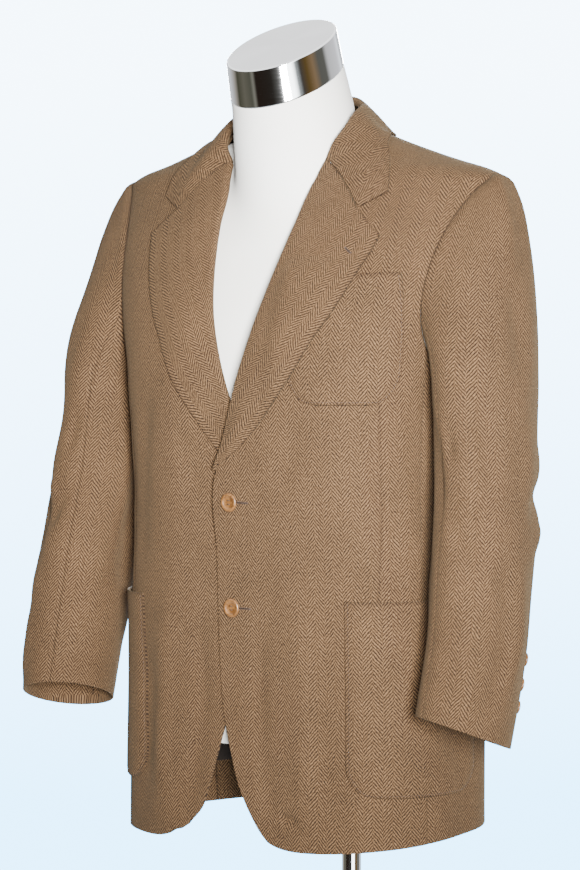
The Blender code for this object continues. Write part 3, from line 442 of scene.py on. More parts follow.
BODY_CREASES = (
    Crease(1, 14, 0.93, 20, 0.72, 0.016, -0.0032),
    Crease(1, 27, 0.98, 33, 0.71, 0.020, 0.0035),
    Crease(1, 40, 0.90, 46, 0.72, 0.017, -0.0029),
    Crease(1, 22, 0.728, 33, 0.724, 0.005, -0.0046),
    Crease(1, 55, 1.20, 60, 1.00, 0.014, -0.0029),
    Crease(1, 62, 1.16, 70, 0.93, 0.018, 0.0023),
    Crease(1, 34, 1.14, 24, 1.07, 0.016, -0.0020),
    Crease(1, 50, 1.10, 30, 1.05, 0.014, 0.0017),
    Crease(-1, 22, 0.93, 30, 0.72, 0.017, -0.0035),
    Crease(-1, 34, 0.98, 42, 0.71, 0.018, 0.0038),
    Crease(-1, 50, 0.92, 55, 0.71, 0.018, -0.0038),
    Crease(-1, 42, 1.18, 50, 0.98, 0.015, -0.0029),
    Crease(-1, 30, 1.13, 22, 1.06, 0.015, -0.0020),
    Crease(-1, 58, 1.19, 66, 0.99, 0.016, 0.0026),
    Crease(0, 84, 1.10, 88, 0.74, 0.018, -0.0035),
    Crease(0, 98, 1.05, 100, 0.73, 0.020, 0.0035),
    Crease(0, 122, 1.20, 130, 0.98, 0.016, -0.0043),
    Crease(0, 134, 1.22, 146, 1.02, 0.018, 0.0043),
    Crease(0, 130, 0.98, 136, 0.75, 0.020, 0.0038),
    Crease(0, 150, 1.00, 155, 0.75, 0.018, -0.0038),
    Crease(0, 168, 1.02, 166, 0.76, 0.018, 0.0029),
    Crease(0, 118, 1.14, 164, 1.075, 0.013, -0.0035),
    Crease(0, 120, 1.09, 166, 1.045, 0.014, 0.0032),
    Crease(0, 140, 1.385, 170, 1.36, 0.012, -0.0017),
)


def jacket_at(turn, height):
    """Points of the jacket's outside, for turns in radians."""
    cut = cut_at(JACKET, height)
    reach = reach_of(cut, turn)
    return np.stack([reach * np.sin(turn), cut.centre_y - reach * np.cos(turn), height + 0 * turn], -1)


def outward(surface, a, b, step=1e-4):
    """Unit normals of a surface of two parameters."""
    along = surface(a + step, b) - surface(a - step, b)
    up = surface(a, b + step) - surface(a, b - step)
    return unit(np.cross(along, up))


def turn_at_x(x, height):
    """The turn where the jacket's front is x from the centre plane."""
    cut = cut_at(JACKET, height)
    share = np.clip(np.abs(x) / cut.half_width, 0, 1) ** cut.front_power
    return np.arctan2(x, cut.front * (1 - share) ** (1 / cut.front_power))


def turn_at_y(y, height):
    """The turn where the jacket's left side lies at y."""
    cut = cut_at(JACKET, height)
    ahead = cut.centre_y - y
    depth = np.where(ahead > 0, cut.front, cut.back)
    power = np.where(ahead > 0, cut.front_power, cut.back_power)
    share = np.clip(np.abs(ahead) / depth, 0, 1) ** power
    return np.arctan2(cut.half_width * (1 - share) ** (1 / power), ahead)


def armhole_at(angle):
    """Turn and height of the armhole's edge, for angles in degrees from its top towards the front."""
    a = np.radians(angle)
    height = ARMHOLE_MIDDLE + ARMHOLE_HALF_HEIGHT * np.cos(a)
    middle = ARMHOLE_CENTRE_Y + (ARMHOLE_TOP_Y - ARMHOLE_CENTRE_Y) * ((1 + np.cos(a)) / 2) ** 4
    y = middle - ARMHOLE_HALF_WIDTH * np.sin(a) * (1 - ARMHOLE_EGG * np.cos(a))
    return turn_at_y(y, height), height


def edge_x(height, side):
    """Distance of the front's free edge, roll line or neckline from the centre plane."""
    columns = table(FRONT_EDGE)
    return smooth(columns["height"], columns["left_x" if side > 0 else "right_x"], height)


def hem_height(turn, side):
    columns = table(HEM)
    return smooth(columns["turn"].astype(float), columns[f"{WORD[side]}_height"], np.degrees(turn))


def lap(x, height, side):
    """How far a front lies in from the jacket's outside: only the right one, under the left."""
    if side > 0:
        return 0 * (x + height)
    rolled = ease(*RIGHT_ROLL_START, height)
    depth = between(RIGHT_LAP_DEPTH, RIGHT_ROLL_DEPTH, rolled)
    return depth * (1 - ease(*RIGHT_LAP_TOP, height)) * (1 - ease(*RIGHT_LAP_SIDE, x))


def crease_at(creases, a, b, scale, side):
    """Height of the creases above the smooth cloth. scale turns degrees of the angle a into metres."""
    total = 0 * (a + b)
    for number, crease in enumerate(creases):
        if crease.side not in (0, side):
            continue
        start = np.array([crease[1] * scale, crease[2]])
        run = np.array([crease[3] * scale, crease[4]]) - start
        length = np.linalg.norm(run)
        ahead, sideways = run / length, np.array([-run[1], run[0]]) / length
        x, y = a * scale - start[0], b - start[1]
        along = (x * ahead[0] + y * ahead[1]) / length
        bow = 0.06 * length * np.sin(math.pi * np.clip(along, 0, 1)) * (1 if number % 2 else -1)
        off = x * sideways[0] + y * sideways[1] - bow
        uneven = 1 + 0.25 * np.sin(7.0 * along + 1.7 * number) + 0.12 * np.sin(17.0 * along + number)
        fade = ease(-0.15, 0.30, along) * (1 - ease(0.70, 1.15, along))
        total = total + crease.depth * uneven * fade * np.exp(-((off / crease.width) ** 2))
    return total


def body_crease(turn, height, side):
    """Creases of the body, quiet beside and above the armhole as far as the back."""
    depth = crease_at(BODY_CREASES, np.degrees(turn), height, math.radians(BODY_RADIUS), side)
    quiet = 1 - 0.9 * ease(*ARMHOLE_QUIET, height) * (1 - ease(*BACK_CREASED, turn))
    return depth * quiet


def patch(left, right, bottom, top, rise, across, leaning=None):
    """A grid of (turn, height) between four edges. rise and across give the rows' and the columns' shares,
    and leaning each point's own share of the way across, where the columns lean."""
    share = (across[None] if leaning is None else leaning)[..., None]
    v = rise[:, None, None]

    def bend(edge):
        return edge - between(edge[0], edge[-1], across[:, None])

    straight = left[:, None] * (1 - share) + right[:, None] * share
    return straight + bend(bottom) * (1 - v) ** 3 + bend(top) * v**4


def pair(turn, height):
    """(turn, height) points from two arrays or numbers."""
    return np.stack(np.broadcast_arrays(turn, height), -1).astype(float)


def front_pair(x, height):
    """(turn, height) points of the front from distances off the centre plane."""
    return pair(turn_at_x(x, height), height)


def refine(values, counts):
    """Numbers with more put evenly between each two."""
    pieces = [np.linspace(a, b, n, endpoint=False) for a, b, n in zip(values[:-1], values[1:], counts)]
    return np.concatenate(pieces + [values[-1:]])


def spread(length, cell=CELL, close=0.0016):
    """Shares from 0 to 1 for the columns of a piece, closer together beside its seams."""
    near = np.array([0, 1, 2.2, 4]) * close / length
    inside = np.linspace(near[-1], 1 - near[-1], max(int(length / cell), 4))
    return np.concatenate([near[:-1], inside, 1 - near[-2::-1]])


def between(start, end, share):
    return start + (end - start) * share


def off_seam(turn, height, direction):
    """A turn moved off a seam by half of its space."""
    return turn + direction * SEAM / 2 / reach_of(cut_at(JACKET, height), turn)


def seam_edge(hem_turn, arm_angle, top_angle, direction, side):
    """A front's or back's edge from the hem up a side seam and round the armhole to the shoulder."""
    arm_turn, arm_height = armhole_at(arm_angle)
    up = refine(SEAM_SHARES, SEAM_COUNTS)
    heights = between(hem_height(hem_turn, side), arm_height, up)
    turns = off_seam(between(hem_turn, arm_turn, up), heights, direction)
    angles = between(arm_angle, top_angle, refine(ARM_SHARES, ARM_COUNTS)[1:])
    over = pair(*armhole_at(angles))
    over[-1, 0] = off_seam(math.pi / 2, over[-1, 1], direction * SHOULDER_SPACES)
    return np.concatenate([pair(turns, heights), over])


def inner_heights(low):
    """Heights of the rows at a front's free edge or the back's centre."""
    arm_height = float(armhole_at(FRONT_SEAM_ANGLE)[1])
    upper = refine(np.concatenate([[arm_height], TOP_HEIGHTS]), ARM_COUNTS)
    return np.concatenate([between(low, arm_height, refine(SEAM_SHARES, SEAM_COUNTS)), upper[1:]])


def grown(values):
    """Running lengths of steps, from 0."""
    return np.concatenate([np.zeros_like(values[..., :1]), np.cumsum(values, -1)], -1)


def path_run(path):
    """Running length along a path of points."""
    return grown(np.linalg.norm(np.diff(path, axis=0), axis=-1))


def grid_runs(points):
    """Running lengths along the rows of a grid of points, and along its columns."""
    across = grown(np.linalg.norm(np.diff(points, axis=1), axis=-1))
    return across, grown(np.linalg.norm(np.diff(points, axis=0), axis=-1).T).T


def read_path(run, values, where):
    """Three numbers along a path, read at running lengths."""
    return np.stack([np.interp(where, run, values[:, k]) for k in range(3)], -1)


# Lengths along the body's surface, so that the weave keeps its size wherever the cloth curves.
MAP_TURNS = np.linspace(-0.6, math.pi + 0.2, 260)
MAP_HEIGHTS = np.linspace(0.68, 1.459, 240)
map_turn, map_height = np.meshgrid(MAP_TURNS, MAP_HEIGHTS)
MAP_AROUND, MAP_UP = grid_runs(jacket_at(map_turn, map_height))


def read_map(values, turn, height):
    """A table over turns and heights, read between its entries."""
    i = np.clip((height - MAP_HEIGHTS[0]) / (MAP_HEIGHTS[1] - MAP_HEIGHTS[0]), 0, len(MAP_HEIGHTS) - 1.001)
    j = np.clip((turn - MAP_TURNS[0]) / (MAP_TURNS[1] - MAP_TURNS[0]), 0, len(MAP_TURNS) - 1.001)
    row, column = i.astype(int), j.astype(int)
    p, q = i - row, j - column
    low = values[row, column] * (1 - q) + values[row, column + 1] * q
    high = values[row + 1, column] * (1 - q) + values[row + 1, column + 1] * q
    return low * (1 - p) + high * p


def body_grain(turn, height, start_turn):
    """Where the cloth of the body was before it was sewn: across from start_turn, and up the grain."""
    start = np.full_like(turn, start_turn)
    across = read_map(MAP_AROUND, turn, height) - read_map(MAP_AROUND, start, height)
    return np.stack([across, read_map(MAP_UP, turn, height)], -1)


def laid_grain(points, column, row=0):
    """The same for a grid of points that lies along its own grain, counted from one column and row."""
    across, up = grid_runs(points)
    return np.stack([across - across[:, column:column + 1 or None], up - up[row]], -1)


def groove(distance, depth=0.0010, width=0.0030):
    """How far cloth dips at a distance from its seam."""
    return depth * np.exp(-np.maximum(distance, 0) / width)


LEFT, RIGHT, FIRST_ROW, LAST_ROW = range(4)  # the edges of a grid of points


def off_edges(points, *edges):
    """Distance of each point of a grid from the nearest of some of the grid's edges."""
    across, up = grid_runs(points)
    away = across, across[:, -1:] - across, up, up[-1:] - up
    return np.minimum.reduce([away[edge] for edge in edges])


# Wool tweed, woven in herringbone. A column of the twill is 10 mm wide and its lines rise at 50 degrees,
# 2.5 mm apart, turning back at each column with the half step that breaks the point. Light tan and brown
# yarns are heathered, so no line is of one colour, and a short nap greys the cloth where it turns away.
HERRINGBONE = 0.020  # two columns of the twill
TWILL_RISE = 0.0040  # height between two lines
TWILL_SLOPE = 1.19
TWEED_SWAY = 0.0026  # how far the lines wander
YARN = 0.0008
YARN_UNEVEN = 1.15  # added to the lines' wave of -1 to 1, so that no line has a clean edge

TWEED, tree, shader = finish("brown herringbone wool tweed", "#564230", 0.92, Sheen_Weight=0.10)
shader.inputs["Sheen Roughness"].default_value = 0.40
shader.inputs["Sheen Tint"].default_value = linear("#C9B28A")
shader.inputs["Specular IOR Level"].default_value = 0.20
flat = node(tree, "UVMap", uv_map="Cloth")
sway = noise(tree, flat, 75.0, 3.0).outputs["Color"]
sway_by = node(tree, "VectorMath", {0: sway, 1: (0.5, 0.5, 0.5)}, operation="SUBTRACT")
sway_most = (TWEED_SWAY, TWEED_SWAY, 0.0)
swayed = node(tree, "VectorMath", {0: sway_by, 1: sway_most, 2: flat}, operation="MULTIPLY_ADD")
spot = node(tree, "SeparateXYZ", {0: swayed})
across, along = spot.outputs[0], spot.outputs[1]
part = sums(tree, "FRACT", sums(tree, "DIVIDE", across, HERRINGBONE))
second = sums(tree, "GREATER_THAN", part, 0.5)
there = sums(tree, "PINGPONG", across, HERRINGBONE / 2)
lines = sums(tree, "DIVIDE", sums(tree, "MULTIPLY_ADD", there, TWILL_SLOPE, along), TWILL_RISE)
broken = sums(tree, "MULTIPLY_ADD", second, 0.5, lines)
wave = sums(tree, "SINE", sums(tree, "MULTIPLY", broken, 2 * math.pi))
heather = noise(tree, swayed, (520.0, 420.0, 1.0), 3.0, Roughness=0.7)
heather_amount = ranged(tree, heather, low=0.32, high=0.68)
uneven = ranged(tree, heather, -YARN_UNEVEN, YARN_UNEVEN)
rib = ranged(tree, sums(tree, "ADD", wave, uneven), low=-0.75, high=0.75)
rib.interpolation_type = "SMOOTHSTEP"
light = mixed(tree, heather_amount, "#483421", "#73593E")
dark = mixed(tree, heather_amount, "#1A1109", "#352516")
cloud = noise(tree, node(tree, "TexCoord").outputs["Object"], 18.0, 6.0, Roughness=0.75)
cloud_value = ranged(tree, cloud, 0.84, 1.12, 0.3, 0.7)
toned = node(tree, "HueSaturation", {"Color": mixed(tree, rib, dark, light), "Value": cloud_value})
# Painted shade: a point attribute darkens the tweed to near black along seams, edges and pocket mouths.
painted_shade_amount = node(tree, "Attribute", attribute_name="Seam").outputs["Fac"]
feed(shader, Base_Color=mixed(tree, painted_shade_amount, toned, "#140C07"))
yarns = [sums(tree, "SINE", sums(tree, "MULTIPLY", way, 2 * math.pi / YARN)) for way in (across, along)]
fuzz = sums(tree, "MULTIPLY_ADD", heather, 0.8, rib)
cloth_height = sums(tree, "MULTIPLY_ADD", sums(tree, "MULTIPLY", *yarns), 0.2, fuzz)
emboss(tree, shader, cloth_height, 0.7, 0.0003)

# Twill viscose lining, dark brown: smooth, with a dull shine, seen only inside the hem and the cuffs. Its
# colour is partly painted shade, darker than the lining's own brown, for the shadow inside the jacket.
LINING_AND_SHADE, tree, shader = finish("dark brown viscose lining, partly painted shade", "#1E150F", 0.60, Specular_IOR_Level=0.2)
flat = node(tree, "UVMap", uv_map="Cloth")
twill = {"Vector": flat, "Scale": (2500.0, 400.0, 1.0), "Rotation": (0, 0, 0.8)}
lining_weave = noise(tree, node(tree, "Mapping", twill), 1.0, 2.0)
feed(shader, Roughness=ranged(tree, lining_weave, 0.50, 0.70))
emboss(tree, shader, lining_weave, 0.2, 0.0001)


# Painted shade: how dark the cloth is made where it is sewn in or turns under, for the thin shadow line
# that falls there: 0 is not at all, 1 is as a slit in shadow.
SeamShades = namedtuple("SeamShades", "armhole sleeve_head front_side side back dart sleeve")
PocketShades = namedtuple("PocketShades", "side bottom top")
LeafShades = namedtuple("LeafShades", "edge end")

SEAM_SHADE = SeamShades(0.765, 0.75, 0.255, 0.3, 0.4, 0.3, 0.2)
POCKET_SHADE = PocketShades(0.5, 0.85, 0.4)
LAPEL_SHADE = LeafShades(0.6, 0.5)
COLLAR_SHADE = LeafShades(0.45, 0.5)

EDGE_ROUND = 0.0007  # width of the rounding along a cut piece's edges


def painted_edge_shade(distance, dark, width=0.0011):
    """Painted shade: how dark cloth is made at a distance from the edge or seam where it is pulled in."""
    return dark * np.exp(-((np.maximum(distance, 0) / width) ** 2))


def cloth(name, points, grain, thickness, side, replaced, seams, faced=None, offset=-1.0):
    """A cut piece of tweed whose outside is a grid of points. seams says how much painted shade its sewn
    lines and edges get at each point, and faced which points have tweed inside too."""
    rows, columns = points.shape[:2]
    number = np.arange(rows * columns).reshape(rows, columns)
    corners = np.stack([number[:-1, :-1], number[:-1, 1:], number[1:, 1:], number[1:, :-1]], -1)
    faces = corners.reshape(-1, 4)[:, ::side]
    if faced is None:
        faced = np.ones((rows, columns), bool)
    # Slots 0 and 2 are outsides, and the slot after each is its inside: lining, or tweed.
    slots = [TWEED, LINING_AND_SHADE, TWEED, TWEED]
    picks = np.where(faced[:-1, :-1].ravel(), 2, 0)
    made = mesh_object(name, points.reshape(-1, 3) * (side, 1, 1), faces.tolist(), slots, picks)
    layer = made.data.uv_layers.new(name="Cloth")
    layer.data.foreach_set("uv", grain.reshape(-1, 2)[faces.ravel()].ravel())
    # Painted shade for the seams and edges, kept on the mesh for the tweed's colour to read.
    tone = made.data.attributes.new("Seam", "FLOAT", "POINT")
    tone.data.foreach_set("value", np.clip(np.broadcast_to(seams, (rows, columns)), 0, 1).ravel())
    wall = made.modifiers.new("cloth thickness", "SOLIDIFY")
    wall.thickness = thickness
    wall.offset = offset
    wall.material_offset = 1
    wall.material_offset_rim = 0
    edge = made.modifiers.new("rounded edge", "BEVEL")
    edge.width = EDGE_ROUND
    edge.segments = 2
    edge.limit_method = "ANGLE"
    edge.angle_limit = math.radians(60)
    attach(made, "root")
    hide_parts(*replaced)
    size = np.ptp(grain.reshape(-1, 2), axis=0)
    crossed = np.cross(points[1:, 1:] - points[:-1, :-1], points[1:, :-1] - points[:-1, 1:])
    area = float(np.linalg.norm(crossed, axis=-1).sum() / 2)
    # A cut piece fills at most 98 per cent of the rectangle that it is cut from.
    size *= max(1.0, math.sqrt(area / (0.98 * size[0] * size[1])))


def body_panel(name, grid, side, dip, start_turn, faced, seams):
    """A piece of the body from its grid of (turn, height). dip is how far each point lies in."""
    turn, height = grid[..., 0], grid[..., 1]
    lift = body_crease(turn, height, side) - dip
    points = jacket_at(turn, height) + outward(jacket_at, turn, height) * lift[..., None]
    grain = body_grain(turn, height, start_turn)
    cloth(name + "_tweed", points, grain, CLOTH, side, [name], seams, faced)


# The long dart runs down the front from under the breast pocket into the hip pocket.
DartPoint = namedtuple("DartPoint", "height x")

DART = (DartPoint(0.900, 0.1610), DartPoint(1.050, 0.1615), DartPoint(1.200, 0.1640))
DART_SHARE = 0.60  # the column that follows it
DART_COLUMNS = np.array([-4.5, -2.4, -1.1, 0, 1.1, 2.4, 4.5]) * 0.001  # metres off the dart
DART_ROOM = 0.022  # no other column is nearer to it, as a share of the front's width
DART_FOLLOWED = (0.78, 0.88, 1.22, 1.34)  # heights where the columns start and stop leaning along it
DART_SEWN = (0.90, 0.93, 1.185, 1.20)  # heights where it fades in and out
DART_DIP = 0.0009
DART_DIP_WIDTH = 0.0016
HEM_FACING = 0.042
EDGE_FACING = 0.28  # share of the front that is backed with tweed
FRONT_WIDTH = 0.30
SIDE_WIDTH = 0.14
BACK_WIDTH = 0.26


def front(side):
    """A front, from its free edge and roll line to the side seam, armhole and shoulder seam."""
    right = seam_edge(float(armhole_at(FRONT_SEAM_ANGLE)[0]), FRONT_SEAM_ANGLE, 0, -1, side)
    heights = inner_heights(FRONT_EDGE[0].height)
    left = front_pair(edge_x(heights, side), heights)
    left[-1, 0] = right[-1, 0]
    dart = DART_COLUMNS / FRONT_WIDTH + DART_SHARE
    s = spread(FRONT_WIDTH)
    s = np.sort(np.concatenate([s[np.abs(s - DART_SHARE) > DART_ROOM], dart]))
    points = table(DART)
    middle = (left[:, 1] + right[:, 1]) / 2
    dart_turn = turn_at_x(smooth(points["height"], points["x"], middle), np.clip(middle, 0.7, 1.25))
    at = (dart_turn - left[:, 0]) / np.maximum(right[:, 0] - left[:, 0], 0.05)
    at = between(at, DART_SHARE, ease(*DART_FOLLOWED[2:], middle))
    at = between(DART_SHARE, at, ease(*DART_FOLLOWED[:2], middle))[:, None]
    near = s[None] * at / DART_SHARE
    far = 1 - (1 - s[None]) * (1 - at) / (1 - DART_SHARE)
    turns = between(left[0, 0], right[0, 0], s)
    low = hem_height(turns, side)
    low += (left[0, 1] - low[0]) * (1 - s) ** 8
    top = between(left[-1], right[-1], s[:, None])
    rise = (heights - heights[0]) / (heights[-1] - heights[0])
    grid = patch(left, right, pair(turns, low), top, rise, s, np.where(s[None] < DART_SHARE, near, far))
    turn, height = grid[..., 0], grid[..., 1]
    points = jacket_at(turn, height)
    off_seams = off_edges(points, RIGHT)
    run = off_edges(points, LEFT)
    column = int(np.argmin(np.abs(s - DART_SHARE)))
    off_dart = np.abs(run - run[:, column:column + 1])
    sewn = ease(*DART_SEWN[:2], height) * (1 - ease(*DART_SEWN[2:], height))
    dip = lap(points[..., 0], height, side) + groove(off_seams)
    dip += DART_DIP * np.exp(-(off_dart / DART_DIP_WIDTH) ** 2) * sewn
    above = height > float(armhole_at(FRONT_SEAM_ANGLE)[1])
    seams = painted_edge_shade(off_seams, np.where(above, SEAM_SHADE.armhole, SEAM_SHADE.front_side))
    seams += painted_edge_shade(off_dart, SEAM_SHADE.dart) * sewn
    faced = (height < hem_height(turn, side) + HEM_FACING) | (s[None] < EDGE_FACING)
    body_panel(f"front_{WORD[side]}", grid, side, dip, 0.0, faced, seams)


for wearer_side in WORD:
    front(wearer_side)

# ---------------------------------------------------------------------------------------------------------
# Side bodies and backs. The side body is the narrow cut under the arm. The two halves of the back meet in a
# centre seam. All are lined, with the tweed of the hem turned up 4 cm inside.
# ---------------------------------------------------------------------------------------------------------


def side_body(side):
    """The piece under the arm, between the two side seams."""
    front_turn, front_height = (float(v) for v in armhole_at(FRONT_SEAM_ANGLE))
    back_turn, back_height = (float(v) for v in armhole_at(BACK_SEAM_ANGLE))
    hem_turn = math.radians(BACK_SEAM_HEM_TURN)
    s = spread(SIDE_WIDTH)
    up = refine(SEAM_SHARES, SEAM_COUNTS)
    left_heights = between(hem_height(front_turn, side), front_height, up)
    right_heights = between(hem_height(hem_turn, side), back_height, up)
    left = pair(off_seam(front_turn, left_heights, 1), left_heights)
    right = pair(off_seam(between(hem_turn, back_turn, up), right_heights, -1), right_heights)
    top = pair(*armhole_at(between(FRONT_SEAM_ANGLE, BACK_SEAM_ANGLE, s)))
    top[0], top[-1] = left[-1], right[-1]
    turns = between(left[0, 0], right[0, 0], s)
    grid = patch(left, right, pair(turns, hem_height(turns, side)), top, up, s)
    turn, height = grid[..., 0], grid[..., 1]
    off_seams = off_edges(jacket_at(turn, height), LEFT, RIGHT, LAST_ROW)
    faced = height < hem_height(turn, side) + HEM_FACING
    seams = painted_edge_shade(off_seams, SEAM_SHADE.side)
    body_panel(f"side_{WORD[side]}", grid, side, groove(off_seams), math.pi / 2, faced, seams)


def back(side):
    """Half of the back, from the side seam and armhole to the centre seam, up to the neckline."""
    left = seam_edge(math.radians(BACK_SEAM_HEM_TURN), BACK_SEAM_ANGLE, 360, 1, side)
    heights = inner_heights(float(hem_height(math.pi, side)))
    right = pair(off_seam(math.pi, heights, -1), heights)
    s = spread(BACK_WIDTH)
    nape = np.clip((s - 0.5) * 2, 0, 1)
    top_heights = between(left[-1, 1], NECK_HEIGHT, np.clip(s * 2, 0, 1))
    top = pair(between(left[-1, 0], right[-1, 0], nape), top_heights)
    turns = between(left[0, 0], right[0, 0], s)
    rise = (heights - heights[0]) / (heights[-1] - heights[0])
    grid = patch(left, right, pair(turns, hem_height(turns, side)), top, rise, s)
    turn, height = grid[..., 0], grid[..., 1]
    off_seams = off_edges(jacket_at(turn, height), LEFT, RIGHT)
    faced = height < hem_height(turn, side) + HEM_FACING
    seams = painted_edge_shade(off_seams, SEAM_SHADE.back)
    body_panel(f"back_{WORD[side]}", grid, side, groove(off_seams), math.pi, faced, seams)


for wearer_side in WORD:
    side_body(wearer_side)
    back(wearer_side)

# ---------------------------------------------------------------------------------------------------------
# Patch pockets. Lined tweed cut with round lower corners, laid on the finished front and sewn down 2 mm from
# the edge with small silk stitches. The hems at their tops stay open, and stand a hair off the cloth.
# ---------------------------------------------------------------------------------------------------------
Pocket = namedtuple("Pocket", "first last top bottom corner tilt")

# first in metres off the centre plane, last in radians of turn
HIP_POCKET = Pocket(0.130, math.radians(95), top=0.9600, bottom=0.7570, corner=0.034, tilt=0.0)
BREAST_POCKET = Pocket(0.074, math.radians(64.5), top=1.2885, bottom=1.1620, corner=0.034, tilt=0.0095)
POCKET_WIDTH = 0.15
POCKET_ROW = 0.0036  # height of a row of the pocket's mesh
POCKET_CLEARANCE = 0.0013
RIGHT_DROP = 0.007  # how much lower the right hip pocket sits than the left
RIGHT_IN = 0.006  # and how much nearer to the side
POCKET_SWELL = 0.0006  # how much more the middle of a pocket stands off than its sewn edge
POCKET_EDGE = 0.012  # width over which it rises
POCKET_GAPE = 0.0012  # how far the top stands open
POCKET_MOUTH = 0.03  # and the depth over which it does
POCKET_BOTTOM_SHADE_WIDTH = 0.0016  # of the painted shadow line under the pocket
STITCH_INSET = 0.0022
STITCH_DIP = 0.0004  # how far the stitches pull the cloth in
STITCH_DIP_WIDTH = 0.0008
STITCH_PITCH = 0.0040
STITCH_LENGTH = 0.0024
STITCH_RADIUS = 0.00035

# Silk buttonhole twist, brown: a dull shine on each short stitch.
THREAD, tree, shader = finish("brown silk thread", "#3C2818", 0.60, Sheen_Weight=0.05)
place = node(tree, "TexCoord").outputs["Object"]
feed(shader, Base_Color=mixed(tree, noise(tree, place, 2500.0, 1.0), "#291A0F", "#4A3321"))


THREAD_AROUND = 6
THREAD_SHAPE = ((0.0, 0.35), (0.12, 0.9), (0.5, 1.0), (0.88, 0.9), (1.0, 0.35))  # share of length, of radius


def circle(count, across, up):
    """Points of a circle of radius 1 round the origin, from one direction towards another."""
    a = 2 * math.pi * np.arange(count) / count
    return np.cos(a)[:, None] * across + np.sin(a)[:, None] * up


def capsules(name, starts, ends, normals, radius, material):
    """Short rounded threads between two lists of points, joined in one mesh."""
    rings, faces = [], []
    for start, end, normal in zip(starts, ends, normals):
        ahead = unit(end - start)
        sideways = unit(np.cross(ahead, normal))
        ring = circle(THREAD_AROUND, sideways, np.cross(sideways, ahead)) * radius
        base = len(rings) * THREAD_AROUND
        rings += [between(start, end, share) + ring * size for share, size in THREAD_SHAPE]
        faces += [[base + i for i in face] for face in ring_faces(len(THREAD_SHAPE), THREAD_AROUND)]
    made = mesh_object(name, np.concatenate(rings), faces, [material])
    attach(made, "root")


def stitches(name, path, normals):
    """Running stitches along a path of points on the cloth."""
    run = path_run(path)
    where = np.arange(STITCH_PITCH / 2, run[-1] - STITCH_LENGTH, STITCH_PITCH)
    starts, ends = read_path(run, path, where), read_path(run, path, where + STITCH_LENGTH)
    capsules(name, starts, ends, unit(read_path(run, normals, where)), STITCH_RADIUS, THREAD)


def pocket(name, shape, side):
    """A patch pocket with rounded lower corners, laid on the jacket."""
    down = 1 - np.linspace(1, 0, int((shape.top - shape.bottom) / POCKET_ROW)) ** 1.3
    heights = shape.top - (shape.top - shape.bottom) * down
    inset = np.clip(shape.bottom + shape.corner - heights, 0, shape.corner)
    narrow = shape.corner - np.sqrt(np.clip(shape.corner**2 - inset**2, 0, None)) * 0.98 - shape.corner * 0.02
    first = turn_at_x(shape.first + RIGHT_IN * (side < 0), heights)
    radius = reach_of(cut_at(JACKET, heights), (first + shape.last) / 2)
    s = spread(POCKET_WIDTH)
    start, end = first + narrow / radius, shape.last - narrow / radius
    turns = start[:, None] + (end - start)[:, None] * s
    grid = pair(turns, heights[:, None] + shape.tilt * s[None, :] * (1 - down)[:, None])[::-1]
    grid[..., 1] -= RIGHT_DROP * (side < 0)
    turn, height = grid[..., 0], grid[..., 1]
    flat_points = jacket_at(turn, height)
    normal = outward(jacket_at, turn, height)
    off_side = off_edges(flat_points, LEFT, RIGHT)
    off_bottom, off_top = off_edges(flat_points, FIRST_ROW), off_edges(flat_points, LAST_ROW)
    off_edge = np.minimum(off_side, off_bottom)
    full = ease(0.0, POCKET_EDGE, off_edge)
    open_top = ease(POCKET_MOUTH, 0.0, off_top) * ease(0.0, POCKET_MOUTH, off_side)
    lift = LEAF + 0.0002 + (POCKET_CLEARANCE + POCKET_SWELL) * full + POCKET_GAPE * open_top
    lift -= STITCH_DIP * np.exp(-((off_edge - STITCH_INSET) / STITCH_DIP_WIDTH) ** 2)
    lift += body_crease(turn, height, side)
    points = flat_points + normal * lift[..., None]
    grain = body_grain(turn, height, 0.0)
    seams = painted_edge_shade(off_side, POCKET_SHADE.side)
    seams += painted_edge_shade(off_bottom, POCKET_SHADE.bottom, POCKET_BOTTOM_SHADE_WIDTH)
    seams = np.maximum(seams, painted_edge_shade(off_top, POCKET_SHADE.top))
    cloth(name + "_tweed", points, grain, LEAF, side, [name], seams)

    def round_pocket(values, inner=2):
        """Values down one side, along the bottom and up the other side, some columns and rows in."""
        sides = values[::-1][:-inner, inner], values[inner, inner:-inner], values[inner:, -1 - inner]
        return np.concatenate(sides) * (side, 1, 1)

    up = round_pocket(normal)
    stitches(name + "_stitching", round_pocket(points) + up * STITCH_RADIUS * 0.4, up)


for wearer_side in WORD:
    pocket(f"hip_pocket_{WORD[wearer_side]}", HIP_POCKET, wearer_side)
pocket("breast_pocket", BREAST_POCKET, 1)

# ---------------------------------------------------------------------------------------------------------
# Sleeves. Each is a top sleeve and a narrower under sleeve, eased into the armhole so that the head swells
# over the seam. They hang from the shoulder with a soft break at the elbow, lined, with 4 cm of tweed inside.
# ---------------------------------------------------------------------------------------------------------
SLEEVE_CLOTH = 0.0020  # thickness of tweed and lining
SleeveCut = namedtuple("SleeveCut", "height x y half_out half_fore")

